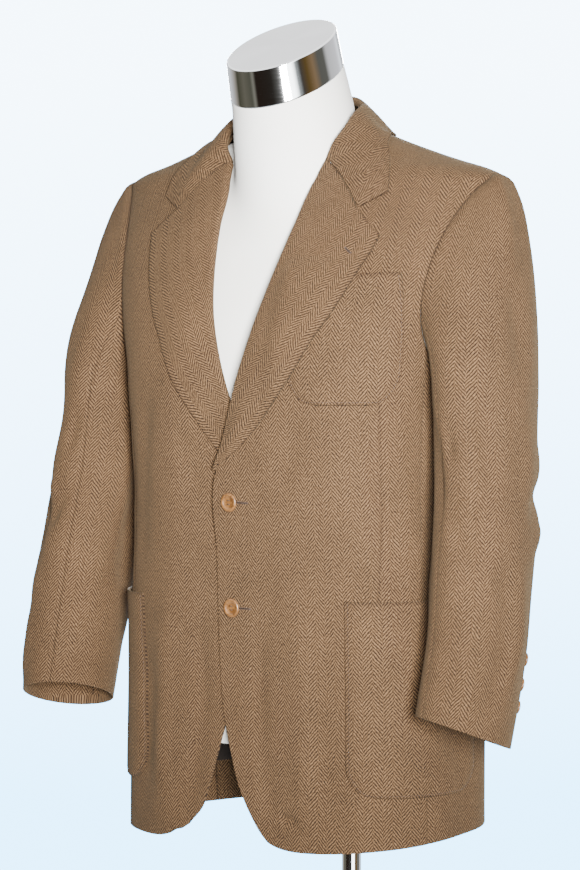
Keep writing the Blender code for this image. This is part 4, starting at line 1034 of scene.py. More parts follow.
SLEEVE = (
    SleeveCut(0.833, 0.2605, -0.1740, 0.0455, 0.0570),
    SleeveCut(0.930, 0.2630, -0.1500, 0.0475, 0.0605),
    SleeveCut(1.000, 0.2600, -0.1365, 0.0480, 0.0625),
    SleeveCut(1.090, 0.2525, -0.1200, 0.0470, 0.0645),
    SleeveCut(1.165, 0.2455, -0.1105, 0.0470, 0.0700),
)
SLEEVE_TOP = SLEEVE[-1].height
SLEEVE_SEAM = -0.0022  # the sleeve starts this far under the edge of the armhole
SLEEVE_RADIUS = 0.055  # turns degrees round the sleeve into metres
HEAD_SWELL = 0.0014  # the seam's turnings lie in the sleeve's head and lift it
HEAD_SWELL_AT = 0.011  # this far from the seam
HEAD_SWELL_WIDTH = 0.007
SLEEVE_CREASED = (0.02, 0.07)  # distances from the armhole over which creases begin
CUFF = SLEEVE[0].height
CUFF_SLOPE_OUT = -0.17
CUFF_SLOPE_FORE = 0.06
CUFF_SLOPE_START = 0.930
SLEEVE_FRONT_SEAM = 112.0
SLEEVE_BACK_SEAM = -76.0

Fold = namedtuple("Fold", "height angle half_height half_angle depth")

# The main breaks of the sleeve, which the solid has too.
SLEEVE_FOLDS = (
    Fold(1.068, -70, 0.014, 55, 0.0050),
    Fold(1.098, -80, 0.018, 60, -0.0030),
    Fold(1.040, -60, 0.020, 50, -0.0025),
    Fold(1.040, 70, 0.030, 40, 0.0030),
    Fold(1.150, 60, 0.040, 30, 0.0030),
    Fold(0.960, -20, 0.045, 40, 0.0020),
)

# Long soft creases down the sleeve, and short ones across the bend of the elbow and under the head.
SLEEVE_CREASES = (
    Crease(0, 20, 1.30, 10, 1.08, 0.012, -0.0043),
    Crease(0, 45, 1.26, 38, 1.02, 0.013, 0.0043),
    Crease(0, 64, 1.22, 60, 0.98, 0.011, -0.0047),
    Crease(0, -8, 1.24, -14, 1.05, 0.013, 0.0035),
    Crease(0, 30, 1.02, 24, 0.86, 0.013, -0.0039),
    Crease(0, 58, 0.98, 46, 0.85, 0.012, 0.0039),
    Crease(0, 2, 1.00, 6, 0.87, 0.012, 0.0031),
    Crease(0, 96, 1.15, 76, 1.07, 0.009, -0.0043),
    Crease(0, 100, 1.11, 60, 1.045, 0.009, 0.0035),
    Crease(0, 98, 1.06, 66, 1.02, 0.009, -0.0035),
    Crease(0, 130, 1.16, 120, 1.02, 0.013, -0.0039),
    Crease(0, 160, 1.14, 150, 0.96, 0.014, 0.0039),
    Crease(0, 190, 1.12, 196, 0.94, 0.013, -0.0039),
    Crease(0, 222, 1.16, 232, 1.05, 0.013, -0.0043),
    Crease(0, 246, 1.15, 236, 1.08, 0.010, 0.0039),
    Crease(0, 238, 1.02, 226, 0.90, 0.013, 0.0035),
    Crease(0, -60, 1.22, -50, 1.12, 0.013, -0.0035),
    Crease(0, -40, 1.08, -10, 1.04, 0.010, -0.0027),
    Crease(0, -44, 1.04, -12, 1.012, 0.010, 0.0027),
)


def sleeve_cut_at(height):
    columns = table(SLEEVE)
    return SleeveCut(*(smooth(columns["height"], columns[name], height) for name in SleeveCut._fields))


def sleeve_ring(angle, height):
    """Points round the sleeve below the armpit. Angles in radians run from its outer side to the front."""
    cut = sleeve_cut_at(height)
    low, high = sleeve_cut_at(height - 0.004), sleeve_cut_at(height + 0.004)
    down = unit(np.stack([low.x - high.x, low.y - high.y, low.height - high.height], -1))
    forward = np.array([0.0, -1.0, 0.0])
    fore = unit(forward - down * (down @ forward)[..., None])
    out = unit(np.cross(fore, down))
    middle = np.stack([cut.x, cut.y, cut.height], -1)
    wide = (cut.half_out * np.cos(angle))[..., None]
    deep = (cut.half_fore * np.sin(angle))[..., None]
    return middle + out * wide + fore * deep


def sleeve_at(angle, way):
    """The sleeve's outside: way runs 0 to 1 from the armhole to the armpit's level, then to 2 at the cuff."""
    angle, way = np.broadcast_arrays(angle, way)
    cosine, sine = np.cos(angle), np.sin(angle)
    start = jacket_at(*armhole_at(np.degrees(angle)))
    reach = 0.050 + 0.040 * cosine + 0.022 * cosine**2
    leave = np.stack([reach, -0.012 * sine, -0.060 * sine**2 + 0.010 * np.maximum(cosine, 0)], -1)
    ahead, behind = (jacket_at(*armhole_at(np.degrees(angle) + step)) for step in (0.5, -0.5))
    edge_run = unit(ahead - behind)
    off_edge = unit(leave - edge_run * (leave * edge_run).sum(-1, keepdims=True))
    start = start + off_edge * SLEEVE_SEAM
    top = np.full(angle.shape, SLEEVE_TOP)
    end = sleeve_ring(angle, top)
    arrive = unit(sleeve_ring(angle, top - 0.010) - end)
    arrive = arrive * (0.120 + 0.135 * cosine + 0.045 * cosine**2)[..., None]
    t = np.minimum(way, 1)[..., None]
    cap_part = start + (end - start) * (3 - 2 * t) * t * t
    cap_part += leave * t * (1 - t) ** 2 - arrive * t * t * (1 - t)
    height = SLEEVE_TOP - (SLEEVE_TOP - CUFF) * np.clip(way - 1, 0, 1)
    arm = sleeve_ring(angle, height)
    slope = CUFF_SLOPE_OUT * SLEEVE[0].half_out * cosine + CUFF_SLOPE_FORE * SLEEVE[0].half_fore * sine
    arm[..., 2] += slope * ease(0, 1, (CUFF_SLOPE_START - height) / (CUFF_SLOPE_START - CUFF))
    return np.where((way <= 1)[..., None], cap_part, arm)


def fold_depth(angle, height):
    depth = 0 * angle
    for fold in SLEEVE_FOLDS:
        away = (np.degrees(angle) - fold.angle + 180) % 360 - 180
        depth = depth + fold.depth * np.exp(-((height - fold.height) / fold.half_height) ** 2
                                            - (away / fold.half_angle) ** 2)
    return depth


CAP_ROWS = np.array([0, 0.07, 0.17, 0.30, 0.46, 0.64, 0.82, 1.0])
CAP_COUNTS = np.array([4, 5, 6, 8, 8, 8, 8])


def sleeve_grain(points, top_heights, top_run):
    """Where the sleeve's cloth was when flat: round the arm from its outer side, and down the grain."""
    height = points[..., 2]
    below = np.minimum(height, SLEEVE_TOP)
    cut = sleeve_cut_at(below)
    over = np.clip((height - SLEEVE_TOP) / (ARMHOLE_MIDDLE + ARMHOLE_HALF_HEIGHT - SLEEVE_TOP), 0, 1)
    middle_x = cut.x - 0.022 * over
    middle_y = cut.y + (ARMHOLE_TOP_Y - SLEEVE[-1].y) * over
    out, fore = SLEEVE[2].half_out, SLEEVE[2].half_fore
    turn = np.arctan2((middle_y - points[..., 1]) / fore, (points[..., 0] - middle_x) / out)
    turn = np.where(turn < math.radians(SLEEVE_BACK_SEAM - 12), turn + 2 * math.pi, turn)
    turns = np.linspace(-math.pi, 2 * math.pi, 721)
    around = grown(np.hypot(out * np.sin(turns[1:]), fore * np.cos(turns[1:])) * (turns[1] - turns[0]))
    across = np.interp(turn, turns, around) - np.interp(0, turns, around)
    return np.stack([across, np.interp(height, top_heights, top_run)], -1)


def sleeve_piece(name, first, last, side):
    """A strip of the sleeve between two seams, from the armhole to the cuff."""
    edge = SEAM / 2 / 0.06  # half of the seam's space, as an angle
    start, end = math.radians(first) + edge, math.radians(last) - edge
    angles = start + (end - start) * spread((end - start) * 0.058)
    ways = np.concatenate([refine(CAP_ROWS, CAP_COUNTS)[:-1], np.linspace(1, 2, 70)])
    way, angle = np.meshgrid(ways, angles, indexing="ij")
    flat_points = sleeve_at(angle, way)
    step = 1e-3
    round_it = sleeve_at(angle + step, way) - sleeve_at(angle - step, way)
    down_it = sleeve_at(angle, np.minimum(way + step, 2)) - sleeve_at(angle, np.maximum(way - step, 0))
    normal = unit(np.cross(round_it, down_it))
    height = flat_points[..., 2]
    off_seams = off_edges(flat_points, LEFT, RIGHT)
    off_armhole = off_edges(flat_points, FIRST_ROW)
    dip = groove(off_seams) + groove(off_armhole, 0.0008, 0.0025)
    head = np.maximum(np.cos(angle), 0) ** 0.5
    dip = dip - HEAD_SWELL * np.exp(-((off_armhole - HEAD_SWELL_AT) / HEAD_SWELL_WIDTH) ** 2) * head
    creases = crease_at(SLEEVE_CREASES, np.degrees(angle), height, math.radians(SLEEVE_RADIUS), side)
    creases = creases * ease(*SLEEVE_CREASED, off_armhole)
    lift = creases - fold_depth(angle, height) - dip
    points = flat_points + normal * lift[..., None]
    outer = sleeve_at(np.zeros(200), np.linspace(2, 0, 200))
    grain = sleeve_grain(flat_points, outer[:, 2], path_run(outer))
    faced = off_edges(flat_points, LAST_ROW) < HEM_FACING
    seams = painted_edge_shade(off_seams, SEAM_SHADE.sleeve)
    seams += painted_edge_shade(off_armhole + SLEEVE_SEAM, SEAM_SHADE.sleeve_head)
    name = f"{name}_{WORD[side]}"
    cloth(name + "_tweed", points, grain, SLEEVE_CLOTH, side, [name], seams, faced)


for wearer_side in WORD:
    sleeve_piece("top_sleeve", SLEEVE_BACK_SEAM, SLEEVE_FRONT_SEAM, wearer_side)
    sleeve_piece("under_sleeve", SLEEVE_FRONT_SEAM, SLEEVE_BACK_SEAM + 360, wearer_side)

# ---------------------------------------------------------------------------------------------------------
# Lapels. The top of each front, faced with tweed and turned back along a soft roll from the break to the
# gorge. The facing's grain runs with the lapel's outer edge, so its columns slant across the chest.
# ---------------------------------------------------------------------------------------------------------
ROLL_LEAN = 0.20
GORGE_HEIGHT = 1.414
LAPEL_START = 0.006  # height of the lapel's lowest row above the break
LAPEL_BELLY = 0.0045  # how far the lapel bows off the front between its roll and its edge
LAPEL_NOTCH_SHARE = 0.625  # how far across the lapel and the collar their notch lies
COLLAR_NOTCH_SHARE = 0.66
POCKET_UNDER_LAPEL = (0.040, 0.064)  # the left lapel rises over the breast pocket between these distances
POCKET_UNDER_LAPEL_HEIGHTS = (1.120, 1.148, 1.297, 1.318)  # and heights
RIGHT_BELLY_START = (1.14, 1.24)  # heights over which the right lapel begins to bow
OutlinePoint = namedtuple("OutlinePoint", "x height")
LapelPoint = namedtuple("LapelPoint", "x left_height right_height")

LAPEL_EDGE = (
    LapelPoint(-0.0150, 1.0965, 1.0900),
    LapelPoint(0.0115, 1.1150, 1.1010),
    LapelPoint(0.0356, 1.1380, 1.1250),
    LapelPoint(0.0545, 1.1590, 1.1500),
    LapelPoint(0.0821, 1.1950, 1.1920),
    LapelPoint(0.0993, 1.2256, 1.2256),
    LapelPoint(0.1190, 1.2580, 1.2580),
    LapelPoint(0.1360, 1.2950, 1.2950),
    LapelPoint(0.1500, 1.3350, 1.3390),
)
GORGE_BEND = OutlinePoint(0.0885, 1.3965)
NOTCH = OutlinePoint(0.1175, 1.363)
COLLAR_POINT = OutlinePoint(0.1457, 1.380)
ROLL_ARC = np.radians(np.linspace(-90, 62, 9))
ROLL_CORE = CLOTH / 2 + 0.0015


def lapel_outline(side):
    """The lapel's outer edge on one side, from the break to its point."""
    return [OutlinePoint(p.x, p.left_height if side > 0 else p.right_height) for p in LAPEL_EDGE]


def line(points, shares):
    """Points at shares of the length of a smooth curve through the points."""
    points = np.asarray(points, float)
    run = path_run(points)
    at = np.asarray(shares) * run[-1]
    return np.stack([smooth(run, column, at) for column in points.T], -1)


def rolled(centre, normal, along, leaf):
    """Adds to a leaf the columns of cloth that turn round the edge at its first column."""
    toward = unit(leaf[:, 3] - leaf[:, 0])
    across = unit(np.cross(along, normal))
    across *= np.sign((across * toward).sum(-1, keepdims=True))
    sweep = [normal * math.sin(a) - across * math.cos(a) for a in ROLL_ARC]
    return np.concatenate([np.stack([centre + (ROLL_CORE + LEAF) * arm for arm in sweep], 1), leaf[:, 1:]], 1)


def roll_x(height, side):
    """Distance of the line that a lapel turns on from the centre plane."""
    return edge_x(np.minimum(height, ROLL_TOP), side) + ROLL_LEAN * np.maximum(height - ROLL_TOP, 0)


def lapel(side):
    """The turned-back lapel, from round the front's roll line to its outer edge and notch."""
    rows = np.append(np.linspace(0, 0.985, 86), (0.9925, 0.9965, 1))
    start = BREAK_HEIGHT + LAPEL_START
    heights = between(start, GORGE_HEIGHT, rows)
    x = roll_x(heights, side)
    left = front_pair(x, heights)
    outline = lapel_outline(side)
    right = front_pair(*line(outline, rows).T)
    gorge_shares, notch_shares = np.linspace(0, 1, 18), np.append(np.linspace(0, 0.93, 12), (0.975, 1))
    gorge = line([(x[-1], GORGE_HEIGHT), GORGE_BEND, NOTCH], gorge_shares)
    notch = line([NOTCH, outline[-1]], notch_shares)
    top = front_pair(*np.concatenate([gorge, notch[1:]]).T)
    s = np.append(gorge_shares * LAPEL_NOTCH_SHARE, between(LAPEL_NOTCH_SHARE, 1, notch_shares[1:]))
    grid = patch(left, right, between(left[0], right[0], s[:, None]), top, rows, s)
    turn, height = grid[..., 0], grid[..., 1]
    points = jacket_at(turn, height)
    normal = outward(jacket_at, turn, height)
    over_pocket = ease(*POCKET_UNDER_LAPEL, points[..., 0])
    heights = POCKET_UNDER_LAPEL_HEIGHTS
    over_pocket *= ease(*heights[:2], height) * (1 - ease(*heights[2:], height))
    up = rows[:, None]
    belly = LAPEL_BELLY * np.sin(math.pi * s)[None, :] * (1 - 0.5 * up) * ease(0, 0.2, up)
    if side < 0:
        over_pocket *= 0
        belly = belly * ease(*RIGHT_BELLY_START, height)
    lift = CLEARANCE + LEAF - lap(points[..., 0], height, side) + belly
    lift = (lift + (LEAF + POCKET_CLEARANCE + CLEARANCE) * over_pocket)[..., None]
    leaf = points + normal * lift
    centre = points[:, 0] - normal[:, 0] * (CLOTH / 2 + lap(points[:, 0, 0], height[:, 0], side))[:, None]
    along = unit(np.gradient(points[:, 0], axis=0))
    leaf = rolled(centre, normal[:, 0], along, leaf)
    grain = laid_grain(leaf, leaf.shape[1] - 1)
    faint = 0.5 if side < 0 else 1.0
    seams = painted_edge_shade(off_edges(leaf, RIGHT), LAPEL_SHADE.edge)
    seams += painted_edge_shade(off_edges(leaf, LAST_ROW), LAPEL_SHADE.end * faint)
    name, under = f"lapel_{WORD[side]}", f"front_{WORD[side]}_tweed"
    cloth(name + "_tweed", leaf, grain, LEAF, side, [name], seams)
    return centre[-1], along[-1], leaf


lapel(-1)
roll_end, roll_along, left_lapel = lapel(1)

# ---------------------------------------------------------------------------------------------------------
# Collar. One turned collar: the leaf falls over the neckline and the stand is sewn up inside it. Its cloth is
# cut across the neck, so the columns of the weave run from the fold to the outer edge.
# ---------------------------------------------------------------------------------------------------------
FoldPoint = namedtuple("FoldPoint", "x y height")

COLLAR_FOLD = (
    FoldPoint(0.0745, -0.1335, 1.4310),
    FoldPoint(0.0800, -0.1180, 1.4500),
    FoldPoint(0.0790, -0.1050, 1.4610),
    FoldPoint(0.0735, -0.0870, 1.4680),
    FoldPoint(0.0600, -0.0640, 1.4730),
    FoldPoint(0.0350, -0.0440, 1.4810),
    FoldPoint(0.0000, -0.0350, 1.4850),
)
COLLAR_SIDE = (COLLAR_POINT, OutlinePoint(0.1435, 1.397), OutlinePoint(0.1325, 1.418))  # its outer edge
COLLAR_BACK = ((90, 1.4415), (120, 1.4405), (150, 1.4395), (180, 1.4390))  # and on round: turn and height
GORGE_GAP = 0.0006
COLLAR_CROWN = 0.0025
STAND_GAP = 0.0030
STAND_SIDE = 0.42  # the part of the stand that is in front of the shoulder seam
COLLAR_CLEARANCE = 0.0012


def off_jacket(points, clearance):
    """Points pushed out where they are nearer to the jacket's outside than the clearance."""
    for _ in range(3):
        height = np.clip(points[..., 2], JACKET[0].height, NECK_HEIGHT)
        centre_y = cut_at(JACKET, height).centre_y
        turn = np.arctan2(points[..., 0], centre_y - points[..., 1])
        normal = outward(jacket_at, turn, height)
        gap = ((points - jacket_at(turn, height)) * normal).sum(-1)
        points = points + normal * np.maximum(clearance - gap, 0)[..., None]
    return points


def both_sides(half):
    """Rows of points from the left end to the back centre, then on to the right end."""
    return np.concatenate([half, half[-2::-1] * (-1, 1, 1)])


def unrolled(first, last):
    """The flat shape of a strip between two edges: where each end of each of its rulings lies."""
    a, b = np.zeros(2), np.array([0.0, -np.linalg.norm(last[0] - first[0])])
    flat_first, flat_last = [a], [b]

    def placed(p, q, ahead, point, real_p, real_q):
        """Where a point comes on the flat, as far from p and q as from their real places, ahead of them."""
        from_p, from_q = np.linalg.norm(point - real_p), np.linalg.norm(point - real_q)
        gap = np.linalg.norm(q - p)
        x = (from_p**2 - from_q**2 + gap**2) / (2 * gap)
        y = math.sqrt(max(from_p**2 - x**2, 0))
        along = (q - p) / gap
        across = np.array([-along[1], along[0]])
        return p + along * x + across * y * np.sign(across @ ahead)

    ahead = np.array([1.0, 0.0])
    for k in range(1, len(first)):
        new_a = placed(a, b, ahead, first[k], first[k - 1], last[k - 1])
        new_b = placed(new_a, b, ahead, last[k], first[k], last[k - 1])
        ahead = (new_a - a) + (new_b - b)
        a, b = new_a, new_b
        flat_first.append(a)
        flat_last.append(b)
    return np.array(flat_first), np.array(flat_last)


def strip_grain(half, fold_column):
    """Grain of half of a strip from its end to the back centre: parallel to the cloth of the back centre."""
    backward = half[::-1]
    flat_fold, flat_edge = unrolled(backward[:, fold_column], backward[:, -1])
    run = grid_runs(backward)[0]
    start = run[:, fold_column:fold_column + 1]
    share = (run - start) / (run[:, -1:] - start)
    flat = flat_fold[:, None] + (flat_edge - flat_fold)[:, None] * share[..., None]
    return flat[::-1]


def collar(start, along):
    """The collar: the part that falls over the neckline, and the stand inside it."""
    s = np.concatenate([[0, 0.004, 0.009], np.linspace(0.016, 1, 62)])
    corners = [tuple(start + along * GORGE_GAP)] + [tuple(p) for p in COLLAR_FOLD]
    fold = line(corners, s)
    spots = [(float(turn_at_x(p.x, p.height)), p.height) for p in COLLAR_SIDE]
    spots += [(math.radians(turn), height) for turn, height in COLLAR_BACK]
    turns, heights = line(spots, np.linspace(0, 1, 40)).T
    edge = line(jacket_at(turns, heights) + outward(jacket_at, turns, heights) * (LEAF + CLEARANCE), s)
    tangent = unit(np.gradient(fold, axis=0))
    tangent[-1] = (-1, 0, 0)
    normal = unit(np.cross(edge - fold, tangent))
    notch = COLLAR_NOTCH_SHARE
    t_in, t_out = np.linspace(0, notch, 15), np.append(np.linspace(notch, 0.96, 8)[1:], (0.984, 1))
    t = np.concatenate([t_in, t_out])
    base = fold + normal * (ROLL_CORE + LEAF)
    falls = base[:, None] + (edge - base)[:, None] * t[None, :, None]
    falls += normal[:, None] * (COLLAR_CROWN * 4 * t * (1 - t))[None, :, None] * s[:, None, None]
    gorge_edge = roll_x(np.array([GORGE_HEIGHT]), 1)[0]
    gorge = line([(gorge_edge, GORGE_HEIGHT), GORGE_BEND, NOTCH], t_in / notch)
    gorge = np.concatenate([gorge, line([NOTCH, COLLAR_POINT], (t_out - notch) / 0.34)])
    gorge[:, 1] += GORGE_GAP * 1.4 * (1 - ease(notch, 1, t))
    turns, heights = front_pair(*gorge.T).T
    end = jacket_at(turns, heights) + outward(jacket_at, turns, heights) * (LEAF + CLEARANCE)
    end[0] = base[0]
    falls += (end - falls[0])[None] * ((1 - s) ** 4)[:, None, None]
    falls[:, 1:] = off_jacket(falls[:, 1:], LEAF + COLLAR_CLEARANCE)
    falls = rolled(fold, normal, tangent, falls)
    falls[-1, :, 0] = 0
    whole = both_sides(falls)
    grain = strip_grain(falls, len(ROLL_ARC) - 1)
    grain = np.concatenate([grain, grain[-2::-1] * (-1, 1)])
    seams = painted_edge_shade(off_edges(whole, FIRST_ROW, LAST_ROW), COLLAR_SHADE.end)
    seams += painted_edge_shade(off_edges(whole, RIGHT), COLLAR_SHADE.edge)
    cloth("collar_tweed", whole, grain, LEAF, 1, ["collar"], seams)

    shares = np.linspace(4 / 11, 1, 44)
    heights = np.minimum(1.424 + 0.14 * shares, NECK_HEIGHT)
    behind = math.pi / 2 + math.pi / 2 * (shares - STAND_SIDE) / 0.58
    sewn_turn = np.where(shares < STAND_SIDE, turn_at_x(edge_x(heights, 1), heights), behind)
    sewn = jacket_at(sewn_turn, heights) - outward(jacket_at, sewn_turn, heights) * CLOTH / 2
    top = line(corners, shares)
    rows = np.linspace(0, 1, 8)[None, :, None]
    up = unit(top - sewn)
    low = sewn + up * STAND_GAP
    middle = low[:, None] + (top - up * STAND_GAP - low)[:, None] * rows
    middle[-1, :, 0] = 0
    stand = both_sides(middle)
    grain = laid_grain(stand, 0, len(stand) // 2)[..., ::-1]
    piece = "collar_stand"
    cloth(piece + "_tweed", stand, grain, LEAF, 1, [piece], 0.0, offset=0.0)


collar(roll_end, roll_along)

# ---------------------------------------------------------------------------------------------------------
# Buttons. Horn-like resin discs, turned with a raised rim and a dished middle with four holes, sewn on with
# brown thread: two of 20 mm down the front and three of 15 mm on each cuff.
# ---------------------------------------------------------------------------------------------------------
FRONT_BUTTON_RADIUS = 0.0100
CUFF_BUTTON_RADIUS = 0.0073
FRONT_BUTTON_HEIGHTS = (1.058, 0.947)
FRONT_BUTTON_X = -0.003
CUFF_BUTTON_HEIGHTS = (0.915, 0.893, 0.873)
CUFF_BUTTON_ANGLE = -58.0

# Polyester resin cast to look like horn: tan with darker clouds, buffed to a low shine.
HORN, tree, shader = finish("tan horn-like resin", "#704E2E", 0.38, Coat_Weight=0.05)
shader.inputs["Coat Roughness"].default_value = 0.15
shader.inputs["IOR"].default_value = 1.54
place = node(tree, "TexCoord").outputs["Object"]
swirled = ranged(tree, noise(tree, place, 160.0, 3.0, Distortion=1.5), low=0.35, high=0.65)
feed(shader, Base_Color=mixed(tree, swirled, "#50300F", "#76512B"))

HOLE_OFFSET = 0.20  # of the holes from the middle, as a share of the radius
HOLE_SIZE = 0.115  # radius of a hole, as a share of the button's
HOLE_ENDS = (0.0007, 0.0040)  # heights that the holes are drilled between
BUTTON_OFF = 0.0008  # of the button's back from the cloth
SEWING_RISE = 0.0021  # of the sewing thread above the button's back
SEWING_RADIUS = 0.00055
BUTTON_AROUND = 48
HOLE_AROUND = 12
BUTTON_OUTLINE = (  # radius and height, from the middle of the face round the rim to the back
    (0.0, 0.0019), (0.0020, 0.0019), (0.0040, 0.0020), (0.0056, 0.0023), (0.0066, 0.0029), (0.0074, 0.0034),
    (0.0084, 0.0035), (0.0093, 0.0031), (0.0099, 0.0024), (0.0100, 0.0018), (0.0096, 0.0009), (0.0088, 0.0),
)


def button(name, point, normal, radius, side):
    """A turned button with four holes and its sewing thread."""
    scale = radius / FRONT_BUTTON_RADIUS
    mirror = np.array([side, 1, 1])
    facing = normal * mirror
    place = point * mirror + facing * BUTTON_OFF
    across = unit(np.cross((0, 0, 1.0), facing))
    up = np.cross(facing, across)
    disc = circle(BUTTON_AROUND, across, up)
    rings = [place + (disc * r + facing * h) * scale for r, h in BUTTON_OUTLINE[:0:-1]]
    made = mesh_object(name + "_resin", np.concatenate(rings), ring_faces(len(rings), BUTTON_AROUND), [HORN])
    hole = circle(HOLE_AROUND, across, up) * HOLE_SIZE * radius
    cutters, faces = [], []
    for number, (i, j) in enumerate(((1, 1), (1, -1), (-1, 1), (-1, -1))):
        offset = (across * i + up * j) * HOLE_OFFSET * radius
        cutters += [place + offset + hole + facing * h * scale for h in HOLE_ENDS]
        faces += [[number * 2 * HOLE_AROUND + k for k in face] for face in ring_faces(2, HOLE_AROUND)]
    drill = mesh_object(name + "_drill", np.concatenate(cutters), faces, [HORN])
    cut = made.modifiers.new("holes", "BOOLEAN")
    cut.object = drill
    cut.solver = "EXACT"
    bpy.context.view_layer.update()
    seen = made.evaluated_get(bpy.context.evaluated_depsgraph_get())
    mesh = bpy.data.meshes.new_from_object(seen)
    made.modifiers.clear()
    made.data = mesh
    mesh.set_sharp_from_angle(angle=math.radians(35))
    bpy.data.objects.remove(drill, do_unlink=True)
    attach(made, "root")
    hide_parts(name)
    middle = place + facing * SEWING_RISE * scale
    right, left = (across + up) * HOLE_OFFSET * radius, (across - up) * HOLE_OFFSET * radius
    starts, ends = [middle + right, middle + left], [middle - left, middle - right]
    capsules(name + "_thread", starts, ends, [facing, facing], SEWING_RADIUS * scale, THREAD)


for number, height in enumerate(FRONT_BUTTON_HEIGHTS, 1):
    spot_on = front_pair(FRONT_BUTTON_X, np.array(height))
    face = outward(jacket_at, *spot_on)
    button(f"front_button_{number}", jacket_at(*spot_on), face, FRONT_BUTTON_RADIUS, 1)
cuff_angle = np.array(math.radians(CUFF_BUTTON_ANGLE))
for number, height in enumerate(CUFF_BUTTON_HEIGHTS, 1):
    cuff_way = np.array(1 + (SLEEVE_TOP - height) / (SLEEVE_TOP - CUFF))
    cuff_normal = outward(sleeve_at, cuff_angle, cuff_way)
    cuff_point = sleeve_at(cuff_angle, cuff_way) - cuff_normal * fold_depth(cuff_angle, height)
    for wearer_side in WORD:
        name = f"cuff_button_{WORD[wearer_side]}_{number}"
        button(name, cuff_point, cuff_normal, CUFF_BUTTON_RADIUS, wearer_side)

# ---------------------------------------------------------------------------------------------------------
# Buttonholes. Slits on the left front beside each button, and one near the left lapel's point for a flower.
# No cut is made: a thin dark rod of lining lies along each, as painted shade for the open slit. Each is bound
# along both sides with close stitches of silk twist over a fine cord.
# ---------------------------------------------------------------------------------------------------------
BUTTONHOLE = 0.0235  # length of the slit
BIND_PITCH = 0.0011  # from one stitch of the binding to the next
BIND_RISE = 0.0003
BIND_START = 0.0002  # off the middle of the slit
BIND_LENGTH = 0.0011
BIND_RADIUS = 0.00045
# Radius of the dark rod along each slit, which is painted shade for its opening.
SLIT_SHADE_RADIUS = 0.0008


def buttonhole(name, path, normals):
    """A bound slit along a path of points on the cloth, with a bar of stitches across its far end. The slit
    is a
    dark rod of lining: painted shade for its opening.
    """
    run = path_run(path)
    where = np.arange(0, run[-1], BIND_PITCH)
    middle, up = read_path(run, path, where), unit(read_path(run, normals, where))
    ahead = unit(np.gradient(middle, axis=0))
    across = unit(np.cross(up, ahead))
    middle = middle + up * BIND_RISE
    near, far = across * BIND_START, across * (BIND_START + BIND_LENGTH)
    starts = np.concatenate([middle + near, middle - near, middle[-1:] + far[-1:]])
    ends = np.concatenate([middle + far, middle - far, middle[-1:] - far[-1:]])
    capsules(name + "_binding", starts, ends, np.concatenate([up, up, up[-1:]]), BIND_RADIUS, THREAD)
    # A thin dark rod of lining along the middle: painted shade for the open slit.
    capsules(name + "_painted_slit_shade", middle[:1], middle[-1:], up[:1], SLIT_SHADE_RADIUS, LINING_AND_SHADE)


def front_path(x, height):
    """Points and normals on the left front at a height."""
    turn, height = front_pair(x, np.full_like(x, height)).T
    normal = outward(jacket_at, turn, height)
    return jacket_at(turn, height) + normal * body_crease(turn, height, 1)[:, None], normal


for number, height in enumerate(FRONT_BUTTON_HEIGHTS, 1):
    hole_x = np.linspace(FRONT_BUTTON_X, FRONT_BUTTON_X + BUTTONHOLE, 12)
    buttonhole(f"front_buttonhole_{number}", *front_path(hole_x, height))

LAPEL_HOLE_ROW = 0.87  # up the lapel
LAPEL_HOLE_SPAN = (0.019, 0.029)  # from the lapel's outer edge
hole_number = int(LAPEL_HOLE_ROW * len(left_lapel))
hole_row = left_lapel[hole_number, ::-1]
hole_at = np.linspace(*LAPEL_HOLE_SPAN, 10)
hole_path = read_path(path_run(hole_row), hole_row, hole_at)
hole_normal = unit(np.cross(hole_row[0] - hole_row[7], np.gradient(left_lapel, axis=0)[hole_number, -2]))
buttonhole("lapel_buttonhole", hole_path, np.tile(hole_normal, (len(hole_at), 1)))

# ---------------------------------------------------------------------------------------------------------
# Studio. A plain pale floor in a pale room. One soft flash stands to the right of the camera, as the photo's
# shading says, and a wide soft lamp behind lights the views of the back.
# ---------------------------------------------------------------------------------------------------------

# Matt background paper, a pale blue grey: an even ground with a fine tooth, that takes only a soft shadow.
PAPER, tree, shader = finish("pale studio floor paper", "#E4EEF4", 0.90)
place = node(tree, "TexCoord").outputs["Object"]
emboss(tree, shader, noise(tree, place, 300.0, 4.0), 0.05, 0.0005)
FLOOR_RADIUS = 3.0
FLOOR_AROUND = 96
floor_ring = circle(FLOOR_AROUND, np.array([1.0, 0, 0]), np.array([0, 1.0, 0])) * FLOOR_RADIUS
floor = mesh_object("studio_floor", floor_ring, [list(range(FLOOR_AROUND))], [PAPER])

# The room. Its soft light is dim, and stronger from in front. Behind the object the wall is white, a little
# bluer low down. Polished metal mirrors a dark room with one tall lit window, a wooden door and white ends.
ROOM_LIGHT = 0.24
ROOM_BRIGHT_WAY = (0.00, -0.85, -0.50)  # where most of the soft light comes from: in front and low
world = bpy.data.worlds.new("pale room")
world.use_nodes = True
bpy.context.scene.world = world
tree = world.node_tree
room = tree.nodes["Background"]
heading = node(tree, "TexCoord").outputs["Generated"]
sideways, backward, upward = node(tree, "SeparateXYZ", {0: heading}).outputs
ray = node(tree, "LightPath").outputs
wall = mixed(tree, ranged(tree, upward, low=-0.16, high=0.06), (2.1, 6.0, 9.8, 1), (6.9, 9.0, 11.2, 1))
toward = node(tree, "VectorMath", {0: heading, 1: ROOM_BRIGHT_WAY}, operation="DOT_PRODUCT")
ambient = sums(tree, "MULTIPLY", ranged(tree, toward, 0.4, 1.5, low=-1.0), ROOM_LIGHT)
